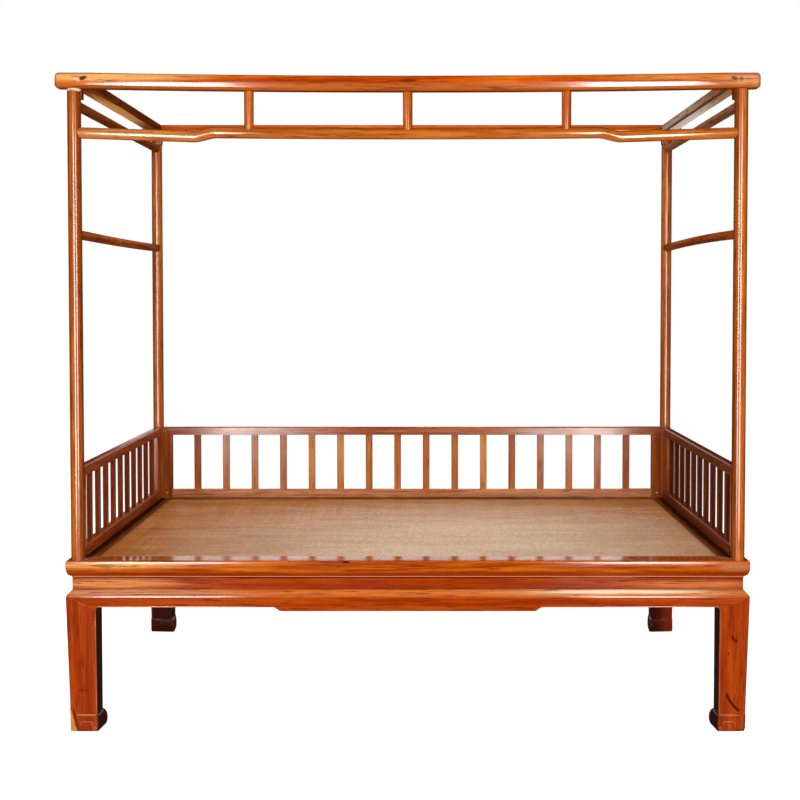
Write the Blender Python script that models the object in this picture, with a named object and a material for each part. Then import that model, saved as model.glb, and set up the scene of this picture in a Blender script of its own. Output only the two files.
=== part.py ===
"""A four-post canopy bed in hardwood, with a woven mat, railings on three sides and hoofed legs."""

import math

import bmesh
import bpy

# The bed's footprint and its main heights, in metres
FRAME_LENGTH = 2.060
FRAME_DEPTH = 1.364
SEAT_HEIGHT = 0.520
CANOPY_HEIGHT = 1.981

# Gap between pieces that touch
CLEARANCE = 0.0003

# Seat frame: four mitred rails with a rounded edge, grooved below for the waist
FRAME_THICKNESS = 0.051
FRAME_TOP_WIDTH = 0.078
FRAME_EDGE_ROUND = 0.005
FRAME_NOSE = 0.019
FRAME_FILLET = 0.003
FRAME_LIP = 0.002
FRAME_TENON_INSET = 0.050
FRAME_TENON_WIDTH = 0.025
FRAME_TENON_THICKNESS = 0.013
FRAME_TENON_FLOOR = 0.004
FRAME_TENON_COVER = 0.014

# Woven mat in the frame's rebate, on cross battens
MAT_THICKNESS = 0.012
MAT_LEDGE = 0.016
BATTEN_COUNT = 3
BATTEN_WIDTH = 0.050
BATTEN_HEIGHT = 0.030
BATTEN_TENON_WIDTH = 0.034
BATTEN_TENON_THICKNESS = 0.012
BATTEN_TENON_LENGTH = 0.020

# Recessed waist between the frame and the aprons
WAIST_HEIGHT = 0.038
WAIST_RECESS = 0.017
TONGUE_INSET = 0.004
TONGUE_THICKNESS = 0.006
TONGUE_HEIGHT = 0.004

# Aprons, mitred to the legs and hung on dovetail keys
APRON_HEIGHT = 0.051
APRON_THICKNESS = 0.032
APRON_FILLET = 0.010
APRON_DROP = 0.012
FRONT_DROP_LENGTH = 0.760
SIDE_DROP_LENGTH = 0.460
DROP_STEP_LENGTH = 0.026
SHOULDER_HEIGHT = 0.018
SHOULDER_ROUND = 0.004
KEY_DEPTH = 0.010
KEY_WIDTH = 0.018
KEY_FLARE = 0.003
KEY_COVER = 0.006

# Legs with inward horse-hoof feet, each with a raised scroll panel on its two outer faces
LEG_WIDTH = 0.090
LEG_TAPER = 0.011
LEG_CHAMFER = 0.003
LEG_TENON_INSET = 0.047
LEG_TENON_SIDE = 0.026
LEG_TENON_LENGTH = 0.016
HOOF_HEIGHT = 0.048
HOOF_SWELL = 0.0135
HOOF_EDGE_SWELL = 0.004
HOOF_SWELL_HEIGHT = 0.019
HOOF_CORNER_CUT = 0.010
HOOF_RINGS = 8
PANEL_RAISE = 0.0025
PANEL_ROUND = 0.009
PANEL_STRIP = 0.010

# Canopy posts, round below and squared on the inside at the head
POST_INSET = 0.032
POST_DIAMETER = 0.041
POST_HEAD_SIDE = 0.047
POST_SIDES = 24
POST_TENON_SIDE = 0.022
POST_TENON_LENGTH = 0.019

# Canopy rails: long ones with rounded horns, short ones tenoned between them
CANOPY_RAIL_HEIGHT = 0.047
CANOPY_RAIL_DEPTH = 0.050
CANOPY_RAIL_ROUND = 0.012
CANOPY_HORN = 0.054
CANOPY_SAG = 0.009
CANOPY_RAIL_RINGS = 12
SIDE_RAIL_HEIGHT = 0.033
SIDE_RAIL_WIDTH = 0.045
SIDE_RAIL_CHAMFER = 0.003
SIDE_RAIL_TENON_WIDTH = 0.022
SIDE_RAIL_TENON_THICKNESS = 0.012
SIDE_RAIL_TENON_LENGTH = 0.014
SIDE_RAIL_TENON_COVER = 0.008

# Hump-back stretcher under the front canopy rail, with round struts between them
STRETCHER_DIAMETER = 0.034
STRETCHER_DROP = 0.130
STRETCHER_DIP = 0.007
HUMP_RISE = 0.013
HUMP_LENGTH = 1.210
HUMP_STEP_LENGTH = 0.070
HUMP_STEP_RINGS = 8
HUMP_RINGS = 8
STRUT_DIAMETER = 0.029
STRUT_SPACING = 0.475
STRUT_TENON_DIAMETER = 0.013
STRUT_TENON_LENGTH = 0.010
STRUT_SEAT_GAP = 0.0005

# Round bars between the posts on the two short sides
SIDE_STRETCHER_DIAMETER = 0.030
SIDE_STRETCHER_DROP = 0.045
SIDE_BAR_DIAMETER = 0.029
SIDE_BAR_RISE = 0.982
LEFT_BAR_BOW = -0.003
RIGHT_BAR_BOW = 0.006
BAR_RINGS = 8
BAR_SIDES = 16
BAR_TENON_DIAMETER = 0.016
BAR_TENON_LENGTH = 0.010

# Railings on the back and the short sides, with upright slats
RAILING_HEIGHT = 0.280
RAILING_THICKNESS = 0.026
TOP_RAIL_HEIGHT = 0.032
TOP_RAIL_ROUND = 0.005
BOTTOM_RAIL_HEIGHT = 0.034
BOTTOM_RAIL_CHAMFER = 0.002
BOTTOM_TENON_THICKNESS = 0.010
BOTTOM_TENON_HEIGHT = 0.020
BOTTOM_TENON_LENGTH = 0.014
STILE_WIDTH = 0.034
STILE_PEG_WIDTH = 0.010
STILE_PEG_HEIGHT = 0.030
STILE_PEG_DEPTH = 0.007
MITRE_TONGUE_THICKNESS = 0.008
MITRE_TONGUE_HEIGHT = 0.009
MITRE_TONGUE_LENGTH = 0.010
BACK_SLATS = 16
SIDE_SLATS = 10
SLAT_WIDTH = 0.027
SLAT_THICKNESS = 0.012
SLAT_CHAMFER = 0.002
SLAT_TENON = 0.008

# Reach of a cutting body past the surface that it cuts
OVERRUN = 0.010

# Levels and places that follow from the sizes above
FRAME_WIDTH = FRAME_TOP_WIDTH + MAT_LEDGE
FRAME_UNDERSIDE = SEAT_HEIGHT - FRAME_THICKNESS
LEDGE_LEVEL = SEAT_HEIGHT - MAT_THICKNESS - CLEARANCE
SHOULDER_TOP = FRAME_UNDERSIDE - WAIST_HEIGHT
SHOULDER_EDGE = SHOULDER_TOP - SHOULDER_HEIGHT
APRON_LOW = SHOULDER_TOP - APRON_HEIGHT
MITRE_LOW = APRON_LOW - APRON_FILLET
MITRE_SLOPE = (SHOULDER_EDGE - MITRE_LOW) / LEG_WIDTH
APRON_BACK = APRON_THICKNESS - CLEARANCE
POST_RADIUS = POST_DIAMETER / 2
POST_X = FRAME_LENGTH / 2 - POST_INSET
POST_Y = FRAME_DEPTH / 2 - POST_INSET
CANOPY_UNDERSIDE = CANOPY_HEIGHT - CANOPY_RAIL_HEIGHT
STRETCHER_LEVEL = CANOPY_UNDERSIDE - STRETCHER_DROP
SIDE_STRETCHER_LEVEL = CANOPY_UNDERSIDE - SIDE_STRETCHER_DROP
SIDE_BAR_LEVEL = SEAT_HEIGHT + SIDE_BAR_RISE
RAILING_TOP = SEAT_HEIGHT + RAILING_HEIGHT
TOP_RAIL_LOW = RAILING_TOP - TOP_RAIL_HEIGHT
BOTTOM_RAIL_LOW = SEAT_HEIGHT + CLEARANCE
BOTTOM_RAIL_TOP = SEAT_HEIGHT + BOTTOM_RAIL_HEIGHT
STRUT_PLACES = (("left", -STRUT_SPACING), ("middle", 0.0), ("right", STRUT_SPACING))

# Finishes: a linear colour and a roughness each
HONEY_WOOD = ((0.330, 0.092, 0.017), 0.32)
WARM_WOOD = ((0.270, 0.066, 0.012), 0.35)
DARK_WOOD = ((0.130, 0.030, 0.008), 0.60)
CANE = ((0.300, 0.150, 0.055), 0.70)

# Largest angle between facets that are shaded as one curved surface, in degrees
SMOOTH_ANGLE = 35


def along_x(s, t, z):
    """A point of a piece that runs along the bed's length."""
    return (s, t, z)


def along_y(s, t, z):
    """A point of a piece that runs along the bed's depth."""
    return (t, s, z)


def add_loft(shape, rings):
    """Adds one closed body through rings of equal point counts, with flat ends."""
    loops = [[shape.verts.new(point) for point in ring] for ring in rings]
    for first, second in zip(loops, loops[1:]):
        count = len(first)
        for i in range(count):
            j = (i + 1) % count
            shape.faces.new((first[i], first[j], second[j], second[i]))
    shape.faces.new(reversed(loops[0]))
    shape.faces.new(loops[-1])


def add_box(shape, low, high):
    """Adds a box between two opposite corners."""
    rings = []
    for z in (low[2], high[2]):
        ring = [(low[0], low[1], z), (high[0], low[1], z), (high[0], high[1], z), (low[0], high[1], z)]
        rings.append(ring)
    add_loft(shape, rings)


def add_bar(shape, place, start, end, t, z, radius, sides=BAR_SIDES):
    """Adds a straight round bar along s, centred on t and z."""
    rings = []
    for s in (start, end):
        ring = []
        for i in range(sides):
            angle = 2 * math.pi * i / sides
            ring.append(place(s, t + radius * math.cos(angle), z + radius * math.sin(angle)))
        rings.append(ring)
    add_loft(shape, rings)


def add_column(shape, x, y, start, end, radius, sides=BAR_SIDES):
    """Adds a straight round bar along z."""
    rings = []
    for z in (start, end):
        ring = []
        for i in range(sides):
            angle = 2 * math.pi * i / sides
            ring.append((x + radius * math.cos(angle), y + radius * math.sin(angle), z))
        rings.append(ring)
    add_loft(shape, rings)


def add_sheet(shape, outline, place, near, far):
    """Adds an outline of (s, z) points, made thick from near to far."""
    rings = [[place(s, t, z) for s, z in outline] for t in (near, far)]
    add_loft(shape, rings)


def chamfered(low, high, cut):
    """Corner points of a rectangle between two corners, with its four corners cut off."""
    (left, bottom), (right, top) = low, high
    return [
        (left + cut, bottom),
        (right - cut, bottom),
        (right, bottom + cut),
        (right, top - cut),
        (right - cut, top),
        (left + cut, top),
        (left, top - cut),
        (left, bottom + cut),
    ]


def arc(centre, radius, start, end, steps):
    """Points on an arc, angles in degrees."""
    points = []
    for i in range(steps + 1):
        angle = math.radians(start + (end - start) * i / steps)
        points.append((centre[0] + radius * math.cos(angle), centre[1] + radius * math.sin(angle)))
    return points


def smooth_step(share):
    """Rises from 0 to 1 in an S curve as its share goes from 0 to 1."""
    share = min(max(share, 0.0), 1.0)
    return share * share * (3 - 2 * share)


def new_object(name, shape):
    """A scene object from a finished shape, with its faces turned outwards."""
    bmesh.ops.recalc_face_normals(shape, faces=shape.faces)
    mesh = bpy.data.meshes.new(name)
    shape.to_mesh(mesh)
    shape.free()
    piece = bpy.data.objects.new(name, mesh)
    bpy.context.scene.collection.objects.link(piece)
    return piece


def combine(piece, operation, shape):
    """Joins a shape to a piece, or takes it away, and keeps the result as the piece's mesh."""
    tool = new_object(piece.name + "_tool", shape)
    change = piece.modifiers.new(operation.lower(), 'BOOLEAN')
    change.operation = operation
    change.solver = 'EXACT'
    change.object = tool
    bpy.context.view_layer.update()
    graph = bpy.context.evaluated_depsgraph_get()
    result = bpy.data.meshes.new_from_object(piece.evaluated_get(graph))
    piece.modifiers.clear()
    piece.data = result
    bpy.data.objects.remove(tool)


def finish(piece, look, bed):
    """Gives a piece its material, puts its origin at its middle and hangs it on the bed."""
    colour, roughness = look
    material = bpy.data.materials.new(piece.name + "_finish")
    material.use_nodes = True
    surface = material.node_tree.nodes["Principled BSDF"]
    surface.inputs["Base Color"].default_value = (*colour, 1.0)
    surface.inputs["Roughness"].default_value = roughness
    surface.inputs["Metallic"].default_value = 0.0
    mesh = piece.data
    mesh.name = piece.name
    mesh.materials.clear()
    mesh.materials.append(material)
    mesh.shade_smooth()
    mesh.set_sharp_from_angle(angle=math.radians(SMOOTH_ANGLE))
    middle = []
    for axis in range(3):
        places = [vertex.co[axis] for vertex in mesh.vertices]
        middle.append((min(places) + max(places)) / 2)
    for vertex in mesh.vertices:
        for axis in range(3):
            vertex.co[axis] -= middle[axis]
    piece.location = middle
    piece.parent = bed


def mitred_rail(name, outline, place, side, length, depth):
    """One side of a rectangular frame. Its outline holds (inset from the edge, height) points."""
    rings = []
    for end in (-1, 1):
        ring = []
        for inset, z in outline:
            s = end * (length / 2 - inset - CLEARANCE)
            ring.append(place(s, side * (depth / 2 - inset), z))
        rings.append(ring)
    shape = bmesh.new()
    add_loft(shape, rings)
    return new_object(name, shape)


def corner_box(shape, side_x, side_y, low, high):
    """Adds a box at one corner of the bed, from insets (a, b) and heights."""
    x = sorted(side_x * (FRAME_LENGTH / 2 - a) for a in (low[0], high[0]))
    y = sorted(side_y * (FRAME_DEPTH / 2 - b) for b in (low[1], high[1]))
    add_box(shape, (x[0], y[0], low[2]), (x[1], y[1], high[2]))


def frame_outline():
    """Section of the seat frame: rounded nose, sweep to the waist, groove below, rebate inside."""
    sweep = WAIST_RECESS - FRAME_LIP
    sweep_height = FRAME_THICKNESS - FRAME_NOSE - FRAME_FILLET
    edge_centre = (FRAME_EDGE_ROUND, SEAT_HEIGHT - FRAME_EDGE_ROUND)
    points = arc(edge_centre, FRAME_EDGE_ROUND, 90, 180, 3)
    steps = 6
    for i in range(steps + 1):
        angle = math.pi / 2 * i / steps
        inset = sweep * (1 - math.cos(angle))
        points.append((inset, SEAT_HEIGHT - FRAME_NOSE - sweep_height * math.sin(angle)))
    groove_start = WAIST_RECESS + TONGUE_INSET - CLEARANCE
    groove_end = WAIST_RECESS + TONGUE_INSET + TONGUE_THICKNESS + CLEARANCE
    groove_top = FRAME_UNDERSIDE + TONGUE_HEIGHT + CLEARANCE
    points += [
        (sweep, FRAME_UNDERSIDE),
        (groove_start, FRAME_UNDERSIDE),
        (groove_start, groove_top),
        (groove_end, groove_top),
        (groove_end, FRAME_UNDERSIDE),
        (FRAME_WIDTH, FRAME_UNDERSIDE),
        (FRAME_WIDTH, LEDGE_LEVEL),
        (FRAME_TOP_WIDTH, LEDGE_LEVEL),
        (FRAME_TOP_WIDTH, SEAT_HEIGHT),
    ]
    return points


def frame_tenon_box(gap):
    """Insets and heights of a long rail's corner tenon, widened by a gap."""
    floor = FRAME_UNDERSIDE + LEG_TENON_LENGTH + FRAME_TENON_FLOOR
    inner = FRAME_TENON_INSET + FRAME_TENON_WIDTH
    low = (FRAME_TENON_COVER - gap, FRAME_TENON_INSET - gap, floor - gap)
    high = (inner + OVERRUN, inner + gap, floor + FRAME_TENON_THICKNESS + gap)
    return low, high


def batten_places():
    """Middles of the cross battens along the bed, evenly spaced inside the frame."""
    inside = FRAME_LENGTH - 2 * FRAME_WIDTH
    pitch = inside / (BATTEN_COUNT + 1)
    return [pitch * (i + 1) - inside / 2 for i in range(BATTEN_COUNT)]


def corner_mortises(shape, side_x, side_y):
    """Adds the mortises that a leg and a post need in the frame at one corner."""
    leg_low = LEG_TENON_INSET - CLEARANCE
    leg_high = LEG_TENON_INSET + LEG_TENON_SIDE + CLEARANCE
    leg_top = FRAME_UNDERSIDE + LEG_TENON_LENGTH + CLEARANCE
    corner_box(
        shape, side_x, side_y, (leg_low, leg_low, FRAME_UNDERSIDE - OVERRUN), (leg_high, leg_high, leg_top)
    )
    post_low = POST_INSET - POST_TENON_SIDE / 2 - CLEARANCE
    post_high = POST_INSET + POST_TENON_SIDE / 2 + CLEARANCE
    post_floor = SEAT_HEIGHT - POST_TENON_LENGTH - CLEARANCE
    corner_box(
        shape, side_x, side_y, (post_low, post_low, post_floor), (post_high, post_high, SEAT_HEIGHT + OVERRUN)
    )


def make_frame(bed):
    """The seat frame: long rails with tenons, end rails with mortises."""
    outline = frame_outline()
    for name, side in (("front", -1), ("back", 1)):
        rail = mitred_rail("frame_rail_" + name, outline, along_x, side, FRAME_LENGTH, FRAME_DEPTH)
        tenons = bmesh.new()
        for side_x in (-1, 1):
            corner_box(tenons, side_x, side, *frame_tenon_box(0.0))
        combine(rail, 'UNION', tenons)
        mortises = bmesh.new()
        for side_x in (-1, 1):
            corner_mortises(mortises, side_x, side)
        for x in batten_places():
            wide = BATTEN_TENON_WIDTH / 2 + CLEARANCE
            high = LEDGE_LEVEL - (BATTEN_HEIGHT - BATTEN_TENON_THICKNESS) / 2 + CLEARANCE
            y = sorted(
                side * (FRAME_DEPTH / 2 - inset)
                for inset in (FRAME_WIDTH - BATTEN_TENON_LENGTH - CLEARANCE, FRAME_WIDTH + OVERRUN)
            )
            low = high - BATTEN_TENON_THICKNESS - 2 * CLEARANCE
            add_box(mortises, (x - wide, y[0], low), (x + wide, y[1], high))
        combine(rail, 'DIFFERENCE', mortises)
        finish(rail, HONEY_WOOD, bed)
    for name, side in (("left", -1), ("right", 1)):
        rail = mitred_rail("frame_end_" + name, outline, along_y, side, FRAME_DEPTH, FRAME_LENGTH)
        mortises = bmesh.new()
        for side_y in (-1, 1):
            corner_mortises(mortises, side, side_y)
            corner_box(mortises, side, side_y, *frame_tenon_box(CLEARANCE))
        combine(rail, 'DIFFERENCE', mortises)
        finish(rail, HONEY_WOOD, bed)


def make_bedding(bed):
    """The cross battens, tenoned into the long rails, and the mat that lies on them."""
    reach = FRAME_DEPTH / 2 - FRAME_WIDTH - CLEARANCE
    tenon_drop = (BATTEN_HEIGHT - BATTEN_TENON_THICKNESS) / 2
    for number, x in enumerate(batten_places(), start=1):
        half = BATTEN_WIDTH / 2
        half_tenon = BATTEN_TENON_WIDTH / 2
        body = [(x - half, LEDGE_LEVEL - BATTEN_HEIGHT), (x + half, LEDGE_LEVEL - BATTEN_HEIGHT)]
        body += [(x + half, LEDGE_LEVEL), (x - half, LEDGE_LEVEL)]
        top = LEDGE_LEVEL - tenon_drop
        low = top - BATTEN_TENON_THICKNESS
        tenon = [(x - half_tenon, low), (x + half_tenon, low), (x + half_tenon, top), (x - half_tenon, top)]
        tip = reach + BATTEN_TENON_LENGTH
        sections = [(-tip, tenon), (-reach, tenon), (-reach, body)]
        sections += [(reach, body), (reach, tenon), (tip, tenon)]
        shape = bmesh.new()
        add_loft(shape, [[(px, y, pz) for px, pz in section] for y, section in sections])
        batten = new_object(f"mat_batten_{number}", shape)
        finish(batten, DARK_WOOD, bed)
    x = FRAME_LENGTH / 2 - FRAME_TOP_WIDTH - CLEARANCE
    y = FRAME_DEPTH / 2 - FRAME_TOP_WIDTH - CLEARANCE
    shape = bmesh.new()
    add_box(shape, (-x, -y, SEAT_HEIGHT - MAT_THICKNESS), (x, y, SEAT_HEIGHT))
    mat = new_object("cane_mat", shape)
    finish(mat, CANE, bed)


def make_waist(bed):
    """Four mitred boards under the frame, each with a tongue in the frame's groove."""
    low = SHOULDER_TOP + CLEARANCE
    top = FRAME_UNDERSIDE - CLEARANCE
    tongue_start = WAIST_RECESS + TONGUE_INSET
    tongue_end = tongue_start + TONGUE_THICKNESS
    tongue_top = FRAME_UNDERSIDE + TONGUE_HEIGHT
    outline = [
        (WAIST_RECESS, low),
        (WAIST_RECESS, top),
        (tongue_start, top),
        (tongue_start, tongue_top),
        (tongue_end, tongue_top),
        (tongue_end, top),
        (APRON_BACK, top),
        (APRON_BACK, low),
    ]
    for name, side in (("front", -1), ("back", 1)):
        board = mitred_rail("waist_" + name, outline, along_x, side, FRAME_LENGTH, FRAME_DEPTH)
        finish(board, WARM_WOOD, bed)
    for name, side in (("left", -1), ("right", 1)):
        board = mitred_rail("waist_" + name, outline, along_y, side, FRAME_DEPTH, FRAME_LENGTH)
        finish(board, WARM_WOOD, bed)


def add_key(shape, place, length, side_s, side_t, depth, gap):
    """Adds the dovetail key on one face of a leg that an apron hangs on, widened by a gap."""
    middle = (APRON_THICKNESS + LEG_WIDTH) / 2
    root = KEY_WIDTH / 2 + gap
    tip = root + KEY_FLARE
    front = APRON_THICKNESS - KEY_DEPTH - gap
    back = APRON_THICKNESS + KEY_DEPTH / 2
    plan = [(middle - root, back), (middle + root, back), (middle + root, APRON_THICKNESS)]
    plan += [(middle + tip, front), (middle - tip, front), (middle - root, APRON_THICKNESS)]
    rings = []
    for z in (MITRE_LOW - KEY_COVER - gap, SHOULDER_TOP - KEY_COVER + gap):
        ring = []
        for inset_s, inset_t in plan:
            ring.append(place(side_s * (length / 2 - inset_s), side_t * (depth / 2 - inset_t), z))
        rings.append(ring)
    add_loft(shape, rings)


def apron_lower_edge(length, drop_length):
    """Outline of what lies below an apron: the two mitres, the rounded corners and the middle drop."""
    half = length / 2
    leg = LEG_WIDTH
    tip = MITRE_LOW + CLEARANCE
    left = [(-half - OVERRUN, SHOULDER_EDGE + CLEARANCE + MITRE_SLOPE * OVERRUN), (-half + leg, tip)]
    left += arc((-half + leg + APRON_FILLET, APRON_LOW - APRON_FILLET), APRON_FILLET, 178, 90, 4)
    if drop_length:
        start = -drop_length / 2 - DROP_STEP_LENGTH
        steps = 6
        for i in range(steps + 1):
            share = i / steps
            left.append((start + DROP_STEP_LENGTH * share, APRON_LOW - APRON_DROP * smooth_step(share)))
    right = [(-s, z) for s, z in reversed(left)]
    floor = MITRE_LOW - APRON_DROP - APRON_HEIGHT
    return left + right + [(half + OVERRUN, floor), (-half - OVERRUN, floor)]


def make_apron(name, place, side, length, depth, drop_length, bed):
    """One apron with its sloping shoulder, mitred to its neighbours and to the legs."""
    low = MITRE_LOW - APRON_DROP
    outline = [(0.0, low), (0.0, SHOULDER_EDGE - SHOULDER_ROUND)]
    rounding = SHOULDER_ROUND * WAIST_RECESS / SHOULDER_HEIGHT
    outline += [(rounding / 4, SHOULDER_EDGE), (rounding, SHOULDER_EDGE + SHOULDER_ROUND)]
    outline += [(WAIST_RECESS, SHOULDER_TOP), (APRON_BACK, SHOULDER_TOP), (APRON_BACK, low)]
    apron = mitred_rail(name, outline, place, side, length, depth)
    below = bmesh.new()
    near = side * (depth / 2 + OVERRUN)
    far = side * (depth / 2 - APRON_THICKNESS - OVERRUN)
    add_sheet(below, apron_lower_edge(length, drop_length), place, near, far)
    combine(apron, 'DIFFERENCE', below)
    slots = bmesh.new()
    for end in (-1, 1):
        add_key(slots, place, length, end, side, depth, CLEARANCE)
    combine(apron, 'DIFFERENCE', slots)
    finish(apron, HONEY_WOOD, bed)


def make_aprons(bed):
    """Aprons on the four sides. The back one, against the wall, has a straight edge."""
    for name, side, drop in (("front", -1, FRONT_DROP_LENGTH), ("back", 1, 0.0)):
        make_apron("apron_" + name, along_x, side, FRAME_LENGTH, FRAME_DEPTH, drop, bed)
    for name, side in (("left", -1), ("right", 1)):
        make_apron("apron_" + name, along_y, side, FRAME_DEPTH, FRAME_LENGTH, SIDE_DROP_LENGTH, bed)


def leg_inset(z):
    """Inset of a leg's outer faces at one height: the leg narrows towards the floor."""
    return LEG_TAPER * (1 - z / SHOULDER_EDGE)


def hoof_bulge(z):
    """Share of the hoof's swell at one height: a round bulge with its widest point low."""
    reach = HOOF_HEIGHT - HOOF_SWELL_HEIGHT
    if z < HOOF_SWELL_HEIGHT:
        reach = HOOF_SWELL_HEIGHT * math.sqrt(2)
    share = (z - HOOF_SWELL_HEIGHT) / reach
    return math.sqrt(max(1 - share * share, 0.0))


def panel_strip(z):
    """Width of the flat strip beside a scroll panel, wider where the panel's top corner is rounded."""
    over = max(z - (HOOF_HEIGHT - PANEL_ROUND), 0.0)
    return PANEL_STRIP + PANEL_ROUND - math.sqrt(max(PANEL_ROUND ** 2 - over ** 2, 0.0))


def leg_section(z, raise_height, bulge, side_x, side_y):
    """A leg's section at one height, with its scroll panels raised and its inner faces bulging."""
    outer = leg_inset(z)
    cut = LEG_CHAMFER
    edge = LEG_WIDTH + HOOF_EDGE_SWELL * bulge
    corner = LEG_WIDTH + HOOF_SWELL * bulge
    corner_cut = cut + (HOOF_CORNER_CUT - cut) * bulge
    strip = outer + panel_strip(min(z, HOOF_HEIGHT))
    face = outer - raise_height
    half = [(outer + cut, outer), (strip, outer), (strip + raise_height, face), (edge - cut, face)]
    half += [(edge, face + cut), (corner, corner - corner_cut)]
    ring = []
    for a, b in half + [(b, a) for a, b in reversed(half)]:
        ring.append((side_x * (FRAME_LENGTH / 2 - a), side_y * (FRAME_DEPTH / 2 - b), z))
    return ring


def leg_tenon_section(z, side_x, side_y):
    """The section of a leg's square tenon, with as many points as the leg's own section."""
    low = LEG_TENON_INSET
    middle = LEG_TENON_INSET + LEG_TENON_SIDE / 2
    high = LEG_TENON_INSET + LEG_TENON_SIDE
    cut = LEG_CHAMFER / 2
    half = [(low + cut, low), (middle - cut, low), (middle, low), (high - cut, low)]
    half += [(high, low + cut), (high, high - cut)]
    ring = []
    for a, b in half + [(b, a) for a, b in reversed(half)]:
        ring.append((side_x * (FRAME_LENGTH / 2 - a), side_y * (FRAME_DEPTH / 2 - b), z))
    return ring


def make_leg(name, side_x, side_y, bed):
    """A leg with a tapered shaft, a hoof, mitred cheeks, dovetail keys and a tenon to the frame."""
    rings = []
    for i in range(HOOF_RINGS + 1):
        z = HOOF_HEIGHT * math.sin(math.pi / 2 * i / HOOF_RINGS)
        rings.append(leg_section(z, PANEL_RAISE, hoof_bulge(z), side_x, side_y))
    core_top = FRAME_UNDERSIDE - CLEARANCE
    for z in (HOOF_HEIGHT + PANEL_RAISE, core_top):
        rings.append(leg_section(z, 0.0, 0.0, side_x, side_y))
    for z in (core_top, FRAME_UNDERSIDE + LEG_TENON_LENGTH):
        rings.append(leg_tenon_section(z, side_x, side_y))
    shape = bmesh.new()
    add_loft(shape, rings)
    leg = new_object(name, shape)
    faces = (
        (along_x, FRAME_LENGTH, side_x, side_y, FRAME_DEPTH),
        (along_y, FRAME_DEPTH, side_y, side_x, FRAME_LENGTH),
    )
    for place, length, side_s, side_t, depth in faces:
        above = bmesh.new()
        slant = MITRE_SLOPE * OVERRUN
        top = core_top + OVERRUN
        wedge = [(-OVERRUN, SHOULDER_EDGE + slant), (LEG_WIDTH + OVERRUN, MITRE_LOW - slant)]
        wedge += [(LEG_WIDTH + OVERRUN, top), (-OVERRUN, top)]
        outline = [(side_s * (length / 2 - inset), z) for inset, z in wedge]
        near = side_t * (depth / 2 + OVERRUN)
        add_sheet(above, outline, place, near, side_t * (depth / 2 - APRON_THICKNESS))
        combine(leg, 'DIFFERENCE', above)
    for place, length, side_s, side_t, depth in faces:
        key = bmesh.new()
        add_key(key, place, length, side_s, side_t, depth, 0.0)
        combine(leg, 'UNION', key)
    finish(leg, HONEY_WOOD, bed)


def corner_names():
    """Names of the four corners with the sides that they lie on."""
    return [
        (f"{y_name}_{x_name}", side_x, side_y)
        for y_name, side_y in (("front", -1), ("back", 1))
        for x_name, side_x in (("left", -1), ("right", 1))
    ]


def post_section(side_x, side_y, z, kind):
    """A post's section: round, squared towards the inside of the bed, or a square tenon."""
    ring = []
    for i in range(POST_SIDES):
        angle = 2 * math.pi * i / POST_SIDES
        along, across = math.cos(angle), math.sin(angle)
        square = max(abs(along), abs(across))
        radius = POST_RADIUS
        if kind == "tenon":
            radius = POST_TENON_SIDE / 2 / square
        elif kind == "head" and along > -1e-6 and across > -1e-6:
            radius = POST_HEAD_SIDE / 2 / square
        ring.append((side_x * (POST_X - radius * along), side_y * (POST_Y - radius * across), z))
    return ring


def stile_pegs(shape, place, side_s, spacing, t, gap):
    """Adds the two pegs that hold a railing's stile to a post, widened by a gap."""
    post = spacing / 2
    wide = STILE_PEG_WIDTH / 2 + gap
    s = sorted(side_s * (post - reach) for reach in (
        POST_RADIUS - STILE_PEG_DEPTH - gap, POST_RADIUS + STILE_WIDTH / 2))
    for level in (BOTTOM_RAIL_TOP + STILE_PEG_HEIGHT, TOP_RAIL_LOW - STILE_PEG_HEIGHT):
        low = place(s[0], t - wide, level - STILE_PEG_HEIGHT / 2 - gap)
        high = place(s[1], t + wide, level + STILE_PEG_HEIGHT / 2 + gap)
        add_box(shape, low, high)


def bar_tenons(shape, place, spacing, t, z, gap):
    """Adds the two round tenons of a bar between posts, widened by a gap."""
    for side in (-1, 1):
        tip = side * (spacing / 2 - POST_RADIUS + BAR_TENON_LENGTH + gap)
        root = side * (spacing / 2 - POST_RADIUS - BAR_TENON_LENGTH)
        add_bar(shape, place, root, tip, t, z, BAR_TENON_DIAMETER / 2 + gap)


def make_posts(bed):
    """Four posts, tenoned into the frame below and into the canopy rails above."""
    head = SIDE_STRETCHER_LEVEL + SIDE_STRETCHER_DIAMETER / 2 + CLEARANCE
    for name, side_x, side_y in corner_names():
        sections = [
            (SEAT_HEIGHT - POST_TENON_LENGTH, "tenon"),
            (SEAT_HEIGHT + CLEARANCE, "tenon"),
            (SEAT_HEIGHT + CLEARANCE, "round"),
            (head, "round"),
            (head, "head"),
            (CANOPY_UNDERSIDE - CLEARANCE, "head"),
            (CANOPY_UNDERSIDE - CLEARANCE, "tenon"),
            (CANOPY_UNDERSIDE + POST_TENON_LENGTH, "tenon"),
        ]
        shape = bmesh.new()
        add_loft(shape, [post_section(side_x, side_y, z, kind) for z, kind in sections])
        bmesh.ops.remove_doubles(shape, verts=shape.verts, dist=CLEARANCE / 10)
        post = new_object("post_" + name, shape)
        mortises = bmesh.new()
        t = side_x * POST_X
        for level in (SIDE_STRETCHER_LEVEL, SIDE_BAR_LEVEL):
            bar_tenons(mortises, along_y, 2 * POST_Y, t, level, CLEARANCE)
        stile_pegs(mortises, along_y, side_y, 2 * POST_Y, t, CLEARANCE)
        if side_y < 0:
            bar_tenons(mortises, along_x, 2 * POST_X, -POST_Y, STRETCHER_LEVEL, CLEARANCE)
        else:
            stile_pegs(mortises, along_x, side_x, 2 * POST_X, POST_Y, CLEARANCE)
        combine(post, 'DIFFERENCE', mortises)
        finish(post, HONEY_WOOD, bed)


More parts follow.
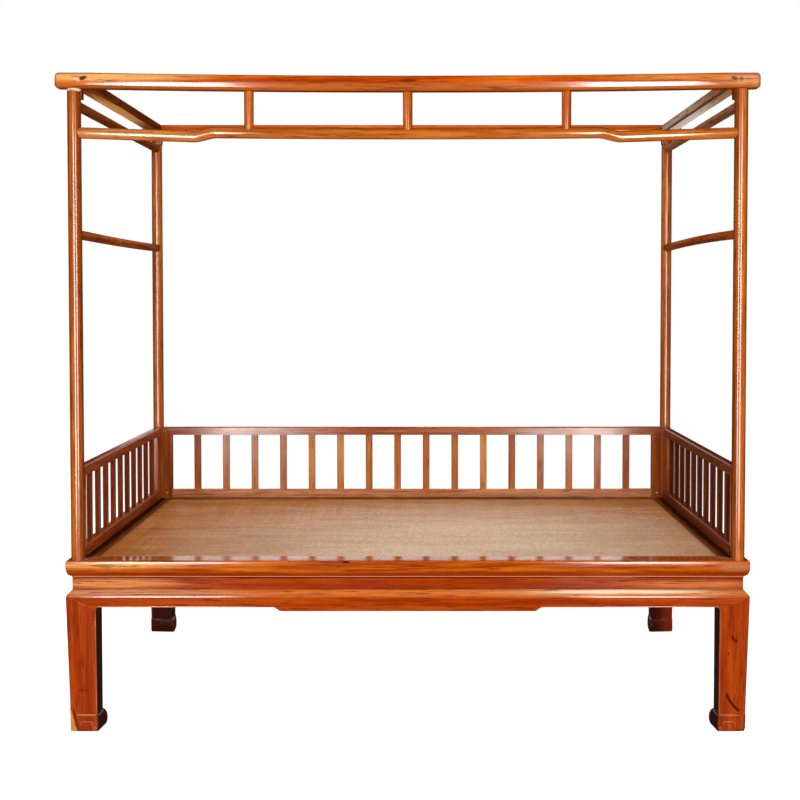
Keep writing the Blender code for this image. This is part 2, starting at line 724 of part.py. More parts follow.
def rounded_section(half_depth, half_height, radius):
    """Outline of a canopy rail: a rectangle with rounded edges."""
    steps = 3
    points = []
    for t_side, z_side, start in ((1, 1, 0), (-1, 1, 90), (-1, -1, 180), (1, -1, 270)):
        centre = (t_side * (half_depth - radius), z_side * (half_height - radius))
        points += arc(centre, radius, start, start + 90, steps)
    return points


def side_rail_tenon(shape, side_x, side_y, gap):
    """Adds a side rail's tenon in a long canopy rail, above the post's tenon, widened by a gap."""
    x = side_x * POST_X
    wide = SIDE_RAIL_TENON_WIDTH / 2 + gap
    face = POST_Y - CANOPY_RAIL_DEPTH / 2
    y = sorted(side_y * reach for reach in (
        face - SIDE_RAIL_TENON_LENGTH, face + SIDE_RAIL_TENON_LENGTH + gap))
    top = CANOPY_HEIGHT - SIDE_RAIL_TENON_COVER + gap
    low = CANOPY_HEIGHT - SIDE_RAIL_TENON_COVER - SIDE_RAIL_TENON_THICKNESS - gap
    add_box(shape, (x - wide, y[0], low), (x + wide, y[1], top))


def canopy_sag(x):
    """How far the front of the canopy sags at one place between the heads of its posts."""
    span = POST_X - POST_HEAD_SIDE
    return CANOPY_SAG * max(1 - (x / span) ** 2, 0.0)


def make_canopy_rails(bed):
    """Long rails with rounded horns on the posts, and side rails tenoned between them."""
    half_length = POST_X + CANOPY_HORN
    span = POST_X - POST_HEAD_SIDE
    middle = CANOPY_HEIGHT - CANOPY_RAIL_HEIGHT / 2
    end_steps = 4
    for name, side_y in (("front", -1), ("back", 1)):
        half_sections = []
        for i in range(end_steps + 1):
            angle = math.pi / 2 * i / end_steps
            inset = CANOPY_RAIL_ROUND * (1 - math.sin(angle))
            s = half_length - CANOPY_RAIL_ROUND * (1 - math.cos(angle))
            half_sections.append((s, inset))
        between = [(span * (2 * i / CANOPY_RAIL_RINGS - 1), 0.0) for i in range(CANOPY_RAIL_RINGS + 1)]
        sections = [(-s, inset) for s, inset in half_sections] + between + list(reversed(half_sections))
        rings = []
        for s, inset in sections:
            sag = canopy_sag(s) if side_y < 0 else 0.0
            half_depth = CANOPY_RAIL_DEPTH / 2 - inset
            half_height = CANOPY_RAIL_HEIGHT / 2 - inset
            radius = CANOPY_RAIL_ROUND - inset * 3 / 4
            outline = rounded_section(half_depth, half_height, radius)
            rings.append([(s, side_y * POST_Y + t, middle - sag + z) for t, z in outline])
        shape = bmesh.new()
        add_loft(shape, rings)
        rail = new_object("canopy_rail_" + name, shape)
        mortises = bmesh.new()
        half = POST_TENON_SIDE / 2 + CLEARANCE
        for side_x in (-1, 1):
            x, y = side_x * POST_X, side_y * POST_Y
            top = CANOPY_UNDERSIDE + POST_TENON_LENGTH + CLEARANCE
            add_box(mortises, (x - half, y - half, CANOPY_UNDERSIDE - OVERRUN), (x + half, y + half, top))
            side_rail_tenon(mortises, side_x, side_y, CLEARANCE)
        if side_y < 0:
            for _, x in STRUT_PLACES:
                underside = CANOPY_UNDERSIDE - canopy_sag(x)
                top = underside + STRUT_TENON_LENGTH + CLEARANCE
                radius = STRUT_TENON_DIAMETER / 2 + CLEARANCE
                add_column(mortises, x, side_y * POST_Y, underside - OVERRUN, top, radius)
        combine(rail, 'DIFFERENCE', mortises)
        finish(rail, HONEY_WOOD, bed)
    for name, side_x in (("left", -1), ("right", 1)):
        reach = POST_Y - CANOPY_RAIL_DEPTH / 2 - CLEARANCE
        half = SIDE_RAIL_WIDTH / 2
        low = (side_x * POST_X - half, CANOPY_HEIGHT - SIDE_RAIL_HEIGHT)
        high = (side_x * POST_X + half, CANOPY_HEIGHT)
        section = chamfered(low, high, SIDE_RAIL_CHAMFER)
        shape = bmesh.new()
        add_loft(shape, [[(x, y, z) for x, z in section] for y in (-reach, reach)])
        rail = new_object("canopy_rail_" + name, shape)
        tenons = bmesh.new()
        for side_y in (-1, 1):
            side_rail_tenon(tenons, side_x, side_y, 0.0)
        combine(rail, 'UNION', tenons)
        finish(rail, WARM_WOOD, bed)


def cope_ends(bar, place, spacing, t, z, radius):
    """Hollows a bar's ends to the round of its posts and adds its tenons."""
    posts = bmesh.new()
    reach = 2 * radius
    for side in (-1, 1):
        x, y, _ = place(side * spacing / 2, t, z)
        add_column(posts, x, y, z - reach, z + reach, POST_RADIUS + CLEARANCE, POST_SIDES)
    combine(bar, 'DIFFERENCE', posts)
    tenons = bmesh.new()
    bar_tenons(tenons, place, spacing, t, z, 0.0)
    combine(bar, 'UNION', tenons)


def bowed_bar(name, place, spacing, t, z, radius, stations, rise):
    """A round bar between two posts whose middle line follows a rise along its length."""
    rings = []
    for s in stations:
        step = CLEARANCE
        slope = math.atan2(rise(s + step) - rise(s - step), 2 * step)
        ring = []
        for i in range(BAR_SIDES):
            angle = 2 * math.pi * i / BAR_SIDES
            across, up = radius * math.cos(angle), radius * math.sin(angle)
            ring.append(place(s - up * math.sin(slope), t + across, z + rise(s) + up * math.cos(slope)))
        rings.append(ring)
    shape = bmesh.new()
    add_loft(shape, rings)
    bar = new_object(name, shape)
    cope_ends(bar, place, spacing, t, z, radius)
    return bar


def make_side_bars(bed):
    """Straight stretchers under the side canopy rails, and slightly bowed bars at half height."""
    half = POST_Y
    for name, side_x, bow in (("left", -1, LEFT_BAR_BOW), ("right", 1, RIGHT_BAR_BOW)):
        t = side_x * POST_X
        radius = SIDE_STRETCHER_DIAMETER / 2
        stretcher = bowed_bar(
            "canopy_stretcher_" + name, along_y, 2 * half, t, SIDE_STRETCHER_LEVEL, radius,
            (-half, half), lambda s: 0.0,
        )
        finish(stretcher, WARM_WOOD, bed)
        stations = [half * (2 * i / BAR_RINGS - 1) for i in range(BAR_RINGS + 1)]
        bar = bowed_bar(
            "side_bar_" + name, along_y, 2 * half, t, SIDE_BAR_LEVEL, SIDE_BAR_DIAMETER / 2,
            stations, lambda s, bow=bow: bow * (1 - (s / half) ** 2),
        )
        finish(bar, WARM_WOOD, bed)


def hump_rise(x):
    """Rise of the front stretcher over its ends: a dip towards the hump, the hump and the canopy's sag."""
    foot = HUMP_LENGTH / 2 + HUMP_STEP_LENGTH / 2
    dip = STRETCHER_DIP * min((POST_X - abs(x)) / (POST_X - foot), 1.0)
    hump = HUMP_RISE * smooth_step((foot - abs(x)) / HUMP_STEP_LENGTH)
    return hump - dip - canopy_sag(x)


def make_hump_stretcher(bed):
    """The front stretcher, stepped up in the middle, and the struts between it and the rail."""
    top = HUMP_LENGTH / 2 - HUMP_STEP_LENGTH / 2
    right = [POST_X, (POST_X + HUMP_LENGTH / 2) / 2]
    right += [top + HUMP_STEP_LENGTH * (1 - i / HUMP_STEP_RINGS) for i in range(HUMP_STEP_RINGS + 1)]
    hump = [top * (2 * i / HUMP_RINGS - 1) for i in range(1, HUMP_RINGS)]
    stations = [-x for x in right] + hump + list(reversed(right))
    radius = STRETCHER_DIAMETER / 2
    stretcher = bowed_bar(
        "canopy_hump_stretcher", along_x, 2 * POST_X, -POST_Y, STRETCHER_LEVEL, radius, stations, hump_rise
    )
    mortises = bmesh.new()
    for _, x in STRUT_PLACES:
        crown = STRETCHER_LEVEL + hump_rise(x) + radius
        floor = crown - STRUT_TENON_LENGTH - CLEARANCE
        add_column(mortises, x, -POST_Y, floor, crown + OVERRUN, STRUT_TENON_DIAMETER / 2 + CLEARANCE)
    combine(stretcher, 'DIFFERENCE', mortises)
    finish(stretcher, HONEY_WOOD, bed)
    for name, x in STRUT_PLACES:
        level = STRETCHER_LEVEL + hump_rise(x)
        underside = CANOPY_UNDERSIDE - canopy_sag(x)
        shape = bmesh.new()
        add_column(shape, x, -POST_Y, level, underside - CLEARANCE, STRUT_DIAMETER / 2)
        strut = new_object("strut_" + name, shape)
        hollow = bmesh.new()
        seat = radius + STRUT_SEAT_GAP
        add_bar(hollow, along_x, x - STRUT_DIAMETER, x + STRUT_DIAMETER, -POST_Y, level, seat)
        combine(strut, 'DIFFERENCE', hollow)
        tenon = bmesh.new()
        low = level + radius - STRUT_TENON_LENGTH
        add_column(tenon, x, -POST_Y, low, underside + STRUT_TENON_LENGTH, STRUT_TENON_DIAMETER / 2)
        combine(strut, 'UNION', tenon)
        finish(strut, HONEY_WOOD, bed)


def slat_places(spacing, count):
    """Middles of a railing's slats, with equal gaps between its stiles."""
    inside = spacing - 2 * (POST_RADIUS + STILE_WIDTH)
    gap = (inside - count * SLAT_WIDTH) / (count + 1)
    pitch = gap + SLAT_WIDTH
    return [-inside / 2 + gap + SLAT_WIDTH / 2 + pitch * i for i in range(count)]


def add_slats(shape, place, places, t, low, high, gap):
    """Adds upright slats with bevelled edges, widened by a gap."""
    wide = SLAT_WIDTH / 2 + gap
    thick = SLAT_THICKNESS / 2 + gap
    for s in places:
        section = chamfered((s - wide, t - thick), (s + wide, t + thick), SLAT_CHAMFER)
        add_loft(shape, [[place(ps, pt, z) for ps, pt in section] for z in (low, high)])


def mitre_tongue(shape, place, side_s, inner, t, gap):
    """Adds the tongue in the mitre between a railing's top rail and stile, widened by a gap."""
    middle = TOP_RAIL_LOW + TOP_RAIL_HEIGHT / 3
    low_z = middle - MITRE_TONGUE_HEIGHT / 2 - gap
    high_z = middle + MITRE_TONGUE_HEIGHT / 2 + gap
    wide = MITRE_TONGUE_THICKNESS / 2 + gap
    reach = STILE_WIDTH * (high_z - TOP_RAIL_LOW) / TOP_RAIL_HEIGHT
    s = sorted(side_s * (inner + offset) for offset in (
        -MITRE_TONGUE_LENGTH, min(reach, STILE_WIDTH / 2) + MITRE_TONGUE_LENGTH / 2 + gap))
    add_box(shape, place(s[0], t - wide, low_z), place(s[1], t + wide, high_z))


def bottom_tenon(shape, place, side_s, inner, t, gap):
    """Adds a bottom rail's tenon in a stile, widened by a gap."""
    middle = (BOTTOM_RAIL_LOW + BOTTOM_RAIL_TOP) / 2
    wide = BOTTOM_TENON_THICKNESS / 2 + gap
    tall = BOTTOM_TENON_HEIGHT / 2 + gap
    s = sorted(side_s * reach for reach in (inner - BOTTOM_TENON_LENGTH, inner + BOTTOM_TENON_LENGTH + gap))
    add_box(shape, place(s[0], t - wide, middle - tall), place(s[1], t + wide, middle + tall))


def make_railing(name, place, spacing, t, slats, ends, bed):
    """A railing between two posts: mitred top rail and stiles, bottom rail with its row of slats."""
    outer = spacing / 2 - POST_RADIUS
    inner = outer - STILE_WIDTH
    half = RAILING_THICKNESS / 2
    places = slat_places(spacing, slats)

    # Top rail, with rounded upper edges, a tongue in each mitre and a mortise for each slat
    section = [(half, TOP_RAIL_LOW)]
    section += arc((half - TOP_RAIL_ROUND, RAILING_TOP - TOP_RAIL_ROUND), TOP_RAIL_ROUND, 0, 90, 3)
    section += arc((TOP_RAIL_ROUND - half, RAILING_TOP - TOP_RAIL_ROUND), TOP_RAIL_ROUND, 90, 180, 3)
    section += [(-half, TOP_RAIL_LOW)]
    rings = []
    for side in (-1, 1):
        ring = []
        for offset, z in section:
            s = inner + STILE_WIDTH * (z - TOP_RAIL_LOW) / TOP_RAIL_HEIGHT - CLEARANCE
            ring.append(place(side * s, t + offset, z))
        rings.append(ring)
    shape = bmesh.new()
    add_loft(shape, rings)
    top_rail = new_object(name + "_top_rail", shape)
    tongues = bmesh.new()
    for side in (-1, 1):
        mitre_tongue(tongues, place, side, inner, t, 0.0)
    combine(top_rail, 'UNION', tongues)
    mortises = bmesh.new()
    slat_top = TOP_RAIL_LOW + SLAT_TENON
    add_slats(mortises, place, places, t, TOP_RAIL_LOW - OVERRUN, slat_top + CLEARANCE, CLEARANCE)
    combine(top_rail, 'DIFFERENCE', mortises)
    finish(top_rail, WARM_WOOD, bed)

    # Bottom rail with the slats that stand on it
    end = inner - CLEARANCE
    section = chamfered((t - half, BOTTOM_RAIL_LOW), (t + half, BOTTOM_RAIL_TOP), BOTTOM_RAIL_CHAMFER)
    shape = bmesh.new()
    add_loft(shape, [[place(s, pt, z) for pt, z in section] for s in (-end, end)])
    comb = new_object(name + "_bottom_rail", shape)
    standing = bmesh.new()
    add_slats(standing, place, places, t, BOTTOM_RAIL_TOP - SLAT_TENON, slat_top, 0.0)
    for side in (-1, 1):
        bottom_tenon(standing, place, side, inner, t, 0.0)
    combine(comb, 'UNION', standing)
    finish(comb, WARM_WOOD, bed)

    # Stiles, hollowed to the round of the posts and pegged to them
    for end_name, side in zip(ends, (-1, 1)):
        start = spacing / 2 - half - CLEARANCE
        outline = [(start, BOTTOM_RAIL_LOW), (inner, BOTTOM_RAIL_LOW), (inner, TOP_RAIL_LOW)]
        outline += [(outer, RAILING_TOP), (start, RAILING_TOP)]
        shape = bmesh.new()
        add_sheet(shape, [(side * s, z) for s, z in outline], place, t - half, t + half)
        stile = new_object(f"{name}_stile_{end_name}", shape)
        post = bmesh.new()
        x, y, _ = place(side * spacing / 2, t, 0.0)
        add_column(
            post, x, y, SEAT_HEIGHT - OVERRUN, RAILING_TOP + OVERRUN, POST_RADIUS + CLEARANCE, POST_SIDES
        )
        combine(stile, 'DIFFERENCE', post)
        pegs = bmesh.new()
        stile_pegs(pegs, place, side, spacing, t, 0.0)
        combine(stile, 'UNION', pegs)
        mortises = bmesh.new()
        mitre_tongue(mortises, place, side, inner, t, CLEARANCE)
        bottom_tenon(mortises, place, side, inner, t, CLEARANCE)
        combine(stile, 'DIFFERENCE', mortises)
        finish(stile, WARM_WOOD, bed)


def make_railings(bed):
    """Railings on the back and on the two short sides, open at the front."""
    make_railing("back_railing", along_x, 2 * POST_X, POST_Y, BACK_SLATS, ("left", "right"), bed)
    for name, side_x in (("left", -1), ("right", 1)):
        make_railing(
            name + "_railing", along_y, 2 * POST_Y, side_x * POST_X, SIDE_SLATS, ("front", "back"), bed
        )


def make_bed():
    """Clears the scene and builds every piece of the bed on one empty at its floor middle."""
    for old in list(bpy.data.objects):
        bpy.data.objects.remove(old)
    bed = bpy.data.objects.new("canopy_bed", None)
    bpy.context.scene.collection.objects.link(bed)
    for name, side_x, side_y in corner_names():
        make_leg("leg_" + name, side_x, side_y, bed)
    make_aprons(bed)
    make_waist(bed)
    make_frame(bed)
    make_bedding(bed)
    make_posts(bed)
    make_canopy_rails(bed)
    make_hump_stretcher(bed)
    make_side_bars(bed)
    make_railings(bed)


make_bed()
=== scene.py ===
import math
import bmesh
import bpy
from mathutils import Matrix, Vector


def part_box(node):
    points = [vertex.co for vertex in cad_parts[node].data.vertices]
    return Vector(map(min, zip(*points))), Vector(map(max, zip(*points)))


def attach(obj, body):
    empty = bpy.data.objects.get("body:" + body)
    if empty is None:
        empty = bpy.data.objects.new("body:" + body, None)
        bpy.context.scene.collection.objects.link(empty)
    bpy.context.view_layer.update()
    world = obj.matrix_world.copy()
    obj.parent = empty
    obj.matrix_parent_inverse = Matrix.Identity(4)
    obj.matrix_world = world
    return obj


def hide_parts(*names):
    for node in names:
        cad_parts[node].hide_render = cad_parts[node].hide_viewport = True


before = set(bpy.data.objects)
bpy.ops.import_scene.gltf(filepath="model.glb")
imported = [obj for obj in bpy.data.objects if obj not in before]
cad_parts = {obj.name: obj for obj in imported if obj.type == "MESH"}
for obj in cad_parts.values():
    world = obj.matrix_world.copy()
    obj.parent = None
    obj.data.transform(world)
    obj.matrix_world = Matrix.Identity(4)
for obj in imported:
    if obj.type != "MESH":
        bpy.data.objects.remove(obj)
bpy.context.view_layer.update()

# Camera
# It stands in front of the open side, a little right of the middle, and looks slightly down.
# The picture was cut off-centre, so the lens is shifted.
camera_data = bpy.data.cameras.new("camera")
camera_data.sensor_width = 36
camera_data.lens = 63.38
camera_data.shift_x = -0.0313
camera_data.shift_y = -0.0662
camera = bpy.data.objects.new("camera", camera_data)
camera.location = (0.0518, -4.8868, 1.3206)
camera.rotation_euler = (math.pi / 2 - 0.03737, 0, 0)
bpy.context.scene.collection.objects.link(camera)
bpy.context.scene.camera = camera
bpy.context.scene.view_settings.view_transform = "Standard"


# Studio
# A plain white floor in a white room: two tall soft lights stand in front to the left and right,
# a wide one between them, one hangs above, weak ones fill the sides and back, and a low bright wall
# stands behind.
def new_piece(name, shape):
    mesh = bpy.data.meshes.new(name)
    shape.to_mesh(mesh)
    shape.free()
    piece = bpy.data.objects.new(name, mesh)
    bpy.context.scene.collection.objects.link(piece)
    return piece


def new_material(name):
    material = bpy.data.materials.new(name)
    material.use_nodes = True
    tree = material.node_tree
    return material, tree.nodes, tree.links, tree.nodes["Principled BSDF"]


def node_tools(nodes, links):
    def feed(source, socket):
        if hasattr(source, "is_linked"):
            links.new(source, socket)
        elif source is not None:
            socket.default_value = source

    def ramp(value, stops):
        colours = nodes.new("ShaderNodeValToRGB")
        for i, (at, colour) in enumerate(stops):
            stop = colours.color_ramp.elements[i] if i < 2 else colours.color_ramp.elements.new(at)
            stop.position = at
            stop.color = colour
        links.new(value, colours.inputs["Fac"])
        return colours.outputs["Color"]

    def blend(kind, factor, first, second):
        mix = nodes.new("ShaderNodeMix")
        mix.data_type = "RGBA"
        mix.blend_type = kind
        feed(factor, mix.inputs["Factor"])
        feed(first, mix.inputs[6])
        feed(second, mix.inputs[7])
        return mix.outputs[2]

    def measure(kind, first, second=None):
        maths = nodes.new("ShaderNodeMath")
        maths.operation = kind
        feed(first, maths.inputs[0])
        feed(second, maths.inputs[1])
        return maths.outputs[0]

    def fade(value, start, end, most=1.0, least=0.0):
        step = nodes.new("ShaderNodeMapRange")
        step.inputs["From Min"].default_value = start
        step.inputs["From Max"].default_value = end
        step.inputs["To Min"].default_value = least
        step.inputs["To Max"].default_value = most
        links.new(value, step.inputs["Value"])
        return step.outputs["Result"]

    return ramp, blend, measure, fade


def soft_light(name, place, target, width, height, watts, mirrored=True):
    data = bpy.data.lights.new(name, "AREA")
    data.shape = "RECTANGLE"
    data.size = width
    data.size_y = height
    data.energy = watts
    lamp = bpy.data.objects.new(name, data)
    lamp.location = place
    lamp.rotation_euler = (Vector(target) - Vector(place)).to_track_quat("-Z", "Y").to_euler()
    lamp.visible_camera = False
    lamp.visible_glossy = mirrored
    bpy.context.scene.collection.objects.link(lamp)


soft_light("strip_light_left", (-1.40, -4.20, 1.15), (-0.60, -0.6, 1.15), 0.74, 2.2, 160)
soft_light("strip_light_right", (1.25, -4.20, 1.15), (0.50, -0.6, 1.15), 0.62, 2.2, 148)
soft_light("front_fill", (0.30, -5.20, 1.40), (0.10, -0.6, 0.9), 2.0, 1.2, 180, mirrored=False)
soft_light("top_light", (0, -0.2, 3.6), (0, 0, 0), 3.4, 2.2, 160, mirrored=False)
soft_light("back_light", (-0.3, 4.6, 1.15), (-0.3, 0, 0.9), 3.4, 0.9, 17)
soft_light("back_fill", (0, 3.6, 2.6), (0, 0, 0.8), 3.6, 2.0, 45, mirrored=False)
soft_light("side_fill_left", (-3.8, 2.2, 1.7), (-0.9, 0, 0.7), 1.6, 1.6, 60, mirrored=False)
soft_light("side_fill_right", (3.8, 2.2, 1.7), (0.9, 0, 0.7), 1.6, 1.6, 60, mirrored=False)

world = bpy.data.worlds.new("white_room")
bpy.context.scene.world = world
world.use_nodes = True
room = world.node_tree
room.nodes.clear()
room_out = room.nodes.new("ShaderNodeOutputWorld")
room_mix = room.nodes.new("ShaderNodeMixShader")
room_ray = room.nodes.new("ShaderNodeLightPath")
room_seen = room.nodes.new("ShaderNodeBackground")
room_seen.inputs["Color"].default_value = (1, 1, 1, 1)
room_light = room.nodes.new("ShaderNodeBackground")
room_axes = room.nodes.new("ShaderNodeSeparateXYZ")
room_place = room.nodes.new("ShaderNodeTexCoord")
room_height = room.nodes.new("ShaderNodeMapRange")
room_height.inputs["From Min"].default_value = -0.05
room_height.inputs["From Max"].default_value = 0.25
room_height.inputs["To Min"].default_value = 0.02
room_height.inputs["To Max"].default_value = 0.12
room_mirrored = room.nodes.new("ShaderNodeBackground")
room_mirrored.inputs["Strength"].default_value = 0.02
room_seen_in_gloss = room.nodes.new("ShaderNodeMixShader")
room.links.new(room_place.outputs["Generated"], room_axes.inputs[0])
room.links.new(room_axes.outputs["Z"], room_height.inputs["Value"])
room.links.new(room_height.outputs["Result"], room_light.inputs["Strength"])
room.links.new(room_ray.outputs["Is Camera Ray"], room_mix.inputs["Fac"])
room.links.new(room_ray.outputs["Is Glossy Ray"], room_seen_in_gloss.inputs["Fac"])
room.links.new(room_light.outputs[0], room_seen_in_gloss.inputs[1])
room.links.new(room_mirrored.outputs[0], room_seen_in_gloss.inputs[2])
room.links.new(room_seen_in_gloss.outputs[0], room_mix.inputs[1])
room.links.new(room_seen.outputs[0], room_mix.inputs[2])
room.links.new(room_mix.outputs[0], room_out.inputs["Surface"])

floor_shape = bmesh.new()
bmesh.ops.create_grid(floor_shape, x_segments=8, y_segments=8, size=30)
bmesh.ops.translate(floor_shape, verts=floor_shape.verts, vec=(0, 0, -0.0006))
floor = new_piece("floor", floor_shape)
floor_paint, floor_nodes, floor_links, floor_shader = new_material("white_floor")
floor_fade = node_tools(floor_nodes, floor_links)[3]
floor_shader.inputs["Base Color"].default_value = (0.30, 0.30, 0.30, 1)
floor_shader.inputs["Roughness"].default_value = 0.8
floor_shader.inputs["Specular IOR Level"].default_value = 0.1
floor_shader.inputs["Emission Color"].default_value = (1, 1, 1, 1)
floor_place = floor_nodes.new("ShaderNodeTexCoord")
floor_reach = floor_nodes.new("ShaderNodeVectorMath")
floor_reach.operation = "LENGTH"
floor_links.new(floor_place.outputs["Object"], floor_reach.inputs[0])
floor_glow = floor_fade(floor_reach.outputs["Value"], 1.0, 4.0, 1.0, 0.96)
floor_ray = floor_nodes.new("ShaderNodeLightPath")
floor_seen = floor_nodes.new("ShaderNodeMix")
floor_seen.inputs[2].default_value = 0.45
floor_links.new(floor_ray.outputs["Is Camera Ray"], floor_seen.inputs[0])
floor_links.new(floor_glow, floor_seen.inputs[3])
floor_links.new(floor_seen.outputs[0], floor_shader.inputs["Emission Strength"])
floor.data.materials.append(floor_paint)
floor.visible_glossy = False


# Legs
# Four square legs of polished hardwood that taper to hoofed feet; each is cut from one piece,
# mitred over the apron ends and tenoned up into the seat frame. The inner faces carry painted shade
# and a duller finish.
LIT_SHARE = 0.46
WHITE, BLACK = (1, 1, 1, 1), (0, 0, 0, 1)
# Tints that painted shade multiplies into a colour.
PAINTED_SHADE_TINT = (0.30, 0.22, 0.18, 1)
PAINTED_SHADOW_TINT = (0.30, 0.20, 0.14, 1)
INSIDE_SHADE_TINT = (0.12, 0.10, 0.09, 1)


def grey(value):
    return value, value, value, 1


def paint(red, green, blue):
    def own(value):
        value /= 255
        return LIT_SHARE * (value / 12.92 if value <= 0.04045 else ((value + 0.055) / 1.055) ** 2.4)

    return own(red), own(green), own(blue), 1


def polished_wood(
    name, grain, vein, shade, body, light,
    marks=(), patches=(), gouge=None, painted_underside_light=None, turn_above=None,
    dull_inside_painted_shade=False, lit_inside=None, painted_inner_side_shade=0.0, painted_front_shade=0.0, painted_edge_shade=0.0,
    rough=(0.08, 0.16), specular=0.50, coat=0.25, coat_rough=0.06, bare=None, clear_edges=False,
):
    material, nodes, links, shader = new_material(name)
    ramp, blend, measure, fade = node_tools(nodes, links)
    coordinates = nodes.new("ShaderNodeTexCoord")
    axes = nodes.new("ShaderNodeSeparateXYZ")
    links.new(coordinates.outputs["Object"], axes.inputs[0])

    def stretched(axis, along, across):
        mapping = nodes.new("ShaderNodeMapping")
        scale = [across, across, across]
        scale[axis] = along
        mapping.inputs["Scale"].default_value = scale
        links.new(coordinates.outputs["Object"], mapping.inputs["Vector"])
        return mapping.outputs["Vector"]

    def noise(along, across, detail, roughness, distortion=0.0):
        vector = stretched(grain, along, across)
        if turn_above is not None:
            turn = nodes.new("ShaderNodeMix")
            turn.data_type = "VECTOR"
            links.new(measure("GREATER_THAN", axes.outputs["Z"], turn_above), turn.inputs["Factor"])
            links.new(vector, turn.inputs[4])
            links.new(stretched(2, along, across), turn.inputs[5])
            vector = turn.outputs[1]
        texture = nodes.new("ShaderNodeTexNoise")
        texture.inputs["Scale"].default_value = 1
        texture.inputs["Detail"].default_value = detail
        texture.inputs["Roughness"].default_value = roughness
        texture.inputs["Distortion"].default_value = distortion
        links.new(vector, texture.inputs["Vector"])
        return texture.outputs["Fac"]

    def reach(centre, half, lean=0.0):
        near = nodes.new("ShaderNodeMapping")
        near.vector_type = "TEXTURE"
        near.inputs["Location"].default_value = centre
        near.inputs["Rotation"].default_value = (0, lean, 0)
        near.inputs["Scale"].default_value = half
        links.new(coordinates.outputs["Object"], near.inputs["Vector"])
        distance = nodes.new("ShaderNodeVectorMath")
        distance.operation = "LENGTH"
        links.new(near.outputs["Vector"], distance.inputs[0])
        return distance.outputs["Value"]

    figure = noise(1.5, 24, 4, 0.55, 1.4)
    colour = ramp(figure, [(0.22, vein), (0.34, shade), (0.50, body), (0.76, light)])
    mottle = noise(3.2, 9, 3, 0.55, 0.6)
    colour = blend("MIX", ramp(mottle, [(0.50, BLACK), (0.80, grey(0.75))]), colour, shade)
    streak = noise(2.6, 120, 3, 0.6)
    fibre = noise(8, 330, 5, 0.65)
    for centre, half, lean, tint, strength in patches:
        soft = measure("ADD", reach(centre, half, lean), measure("MULTIPLY", streak, 1.2))
        colour = blend("MIX", fade(soft, 1.9, 1.1, strength), colour, tint)
    colour = blend("MIX", ramp(streak, [(0.32, grey(0.7)), (0.48, BLACK)]), colour, shade)
    colour = blend("MIX", ramp(streak, [(0.54, BLACK), (0.72, grey(0.5))]), colour, light)
    colour = blend("MULTIPLY", 0.55, colour, ramp(fibre, [(0.34, (0.60, 0.50, 0.42, 1)), (0.60, WHITE)]))
    fleck = noise(13, 250, 2, 0.5)
    colour = blend("MIX", ramp(fleck, [(0.585, BLACK), (0.67, grey(0.75))]), colour, vein)
    pores = noise(38, 1000, 2, 0.5)
    colour = blend("MULTIPLY", 0.6, colour, ramp(pores, [(0.63, WHITE), (0.72, (0.35, 0.28, 0.24, 1))]))

    geometry = nodes.new("ShaderNodeNewGeometry")
    facing = nodes.new("ShaderNodeSeparateXYZ")
    links.new(geometry.outputs["True Normal"], facing.inputs[0])
    # Painted light: faces turned downwards are mixed towards a paler tone, standing in for light bounced up
    # from below.
    if painted_underside_light is not None:
        colour = blend("MIX", fade(facing.outputs["Z"], -0.3, -0.8, 0.9), colour, painted_underside_light)
    rounded = nodes.new("ShaderNodeBevel")
    rounded.samples = 4
    rounded.inputs["Radius"].default_value = 0.003
    likeness = nodes.new("ShaderNodeVectorMath")
    likeness.operation = "DOT_PRODUCT"
    links.new(rounded.outputs[0], likeness.inputs[0])
    links.new(geometry.outputs["Normal"], likeness.inputs[1])
    worn = measure("MULTIPLY", fade(likeness.outputs["Value"], 0.99, 0.80, 0.55), mottle)
    colour = blend("MIX", worn, colour, light)

    for centre, half, lean, tint, strength in marks:
        ragged = measure("ADD", reach(centre, half, lean), measure("MULTIPLY", fibre, 1.6))
        colour = blend("MIX", fade(ragged, 1.9, 1.5, strength), colour, tint)
    if gouge is not None:
        (middle, radius, half_width), (window, window_half) = gouge
        ring = measure("ABSOLUTE", measure("SUBTRACT", reach(middle, (1, 1e6, 1)), radius))
        line = fade(ring, half_width * 1.4, half_width * 0.7)
        mask = measure("MULTIPLY", line, fade(reach(window, window_half), 1.0, 0.8, 0.94))
        colour = blend("MIX", mask, colour, paint(70, 14, 2))

    def turned_away():
        weight = nodes.new("ShaderNodeLayerWeight")
        weight.inputs["Blend"].default_value = 0.5
        return weight.outputs["Facing"]

    def inward(axis, weight):
        return measure("MULTIPLY", measure("MULTIPLY", facing.outputs[axis], axes.outputs[axis]), weight)

    # Painted shade: faces seen at a slant are darkened, so round pieces look darker towards their outlines.
    if painted_edge_shade:
        colour = blend("MULTIPLY", fade(turned_away(), 0.25, 0.75, painted_edge_shade), colour, PAINTED_SHADE_TINT)
    # Painted shade: faces turned across X towards the middle of the bed are darkened.
    if painted_inner_side_shade:
        colour = blend("MULTIPLY", fade(inward("X", -1.0), 0.15, 0.75, painted_inner_side_shade), colour, PAINTED_SHADE_TINT)
    # Painted shade: faces turned to the front are darkened.
    if painted_front_shade:
        front = fade(measure("MULTIPLY", facing.outputs["Y"], -1.0), 0.5, 0.9, painted_front_shade)
        colour = blend("MULTIPLY", front, colour, PAINTED_SHADOW_TINT)
    dulled = fade(mottle, 0.3, 0.7, rough[1], rough[0])
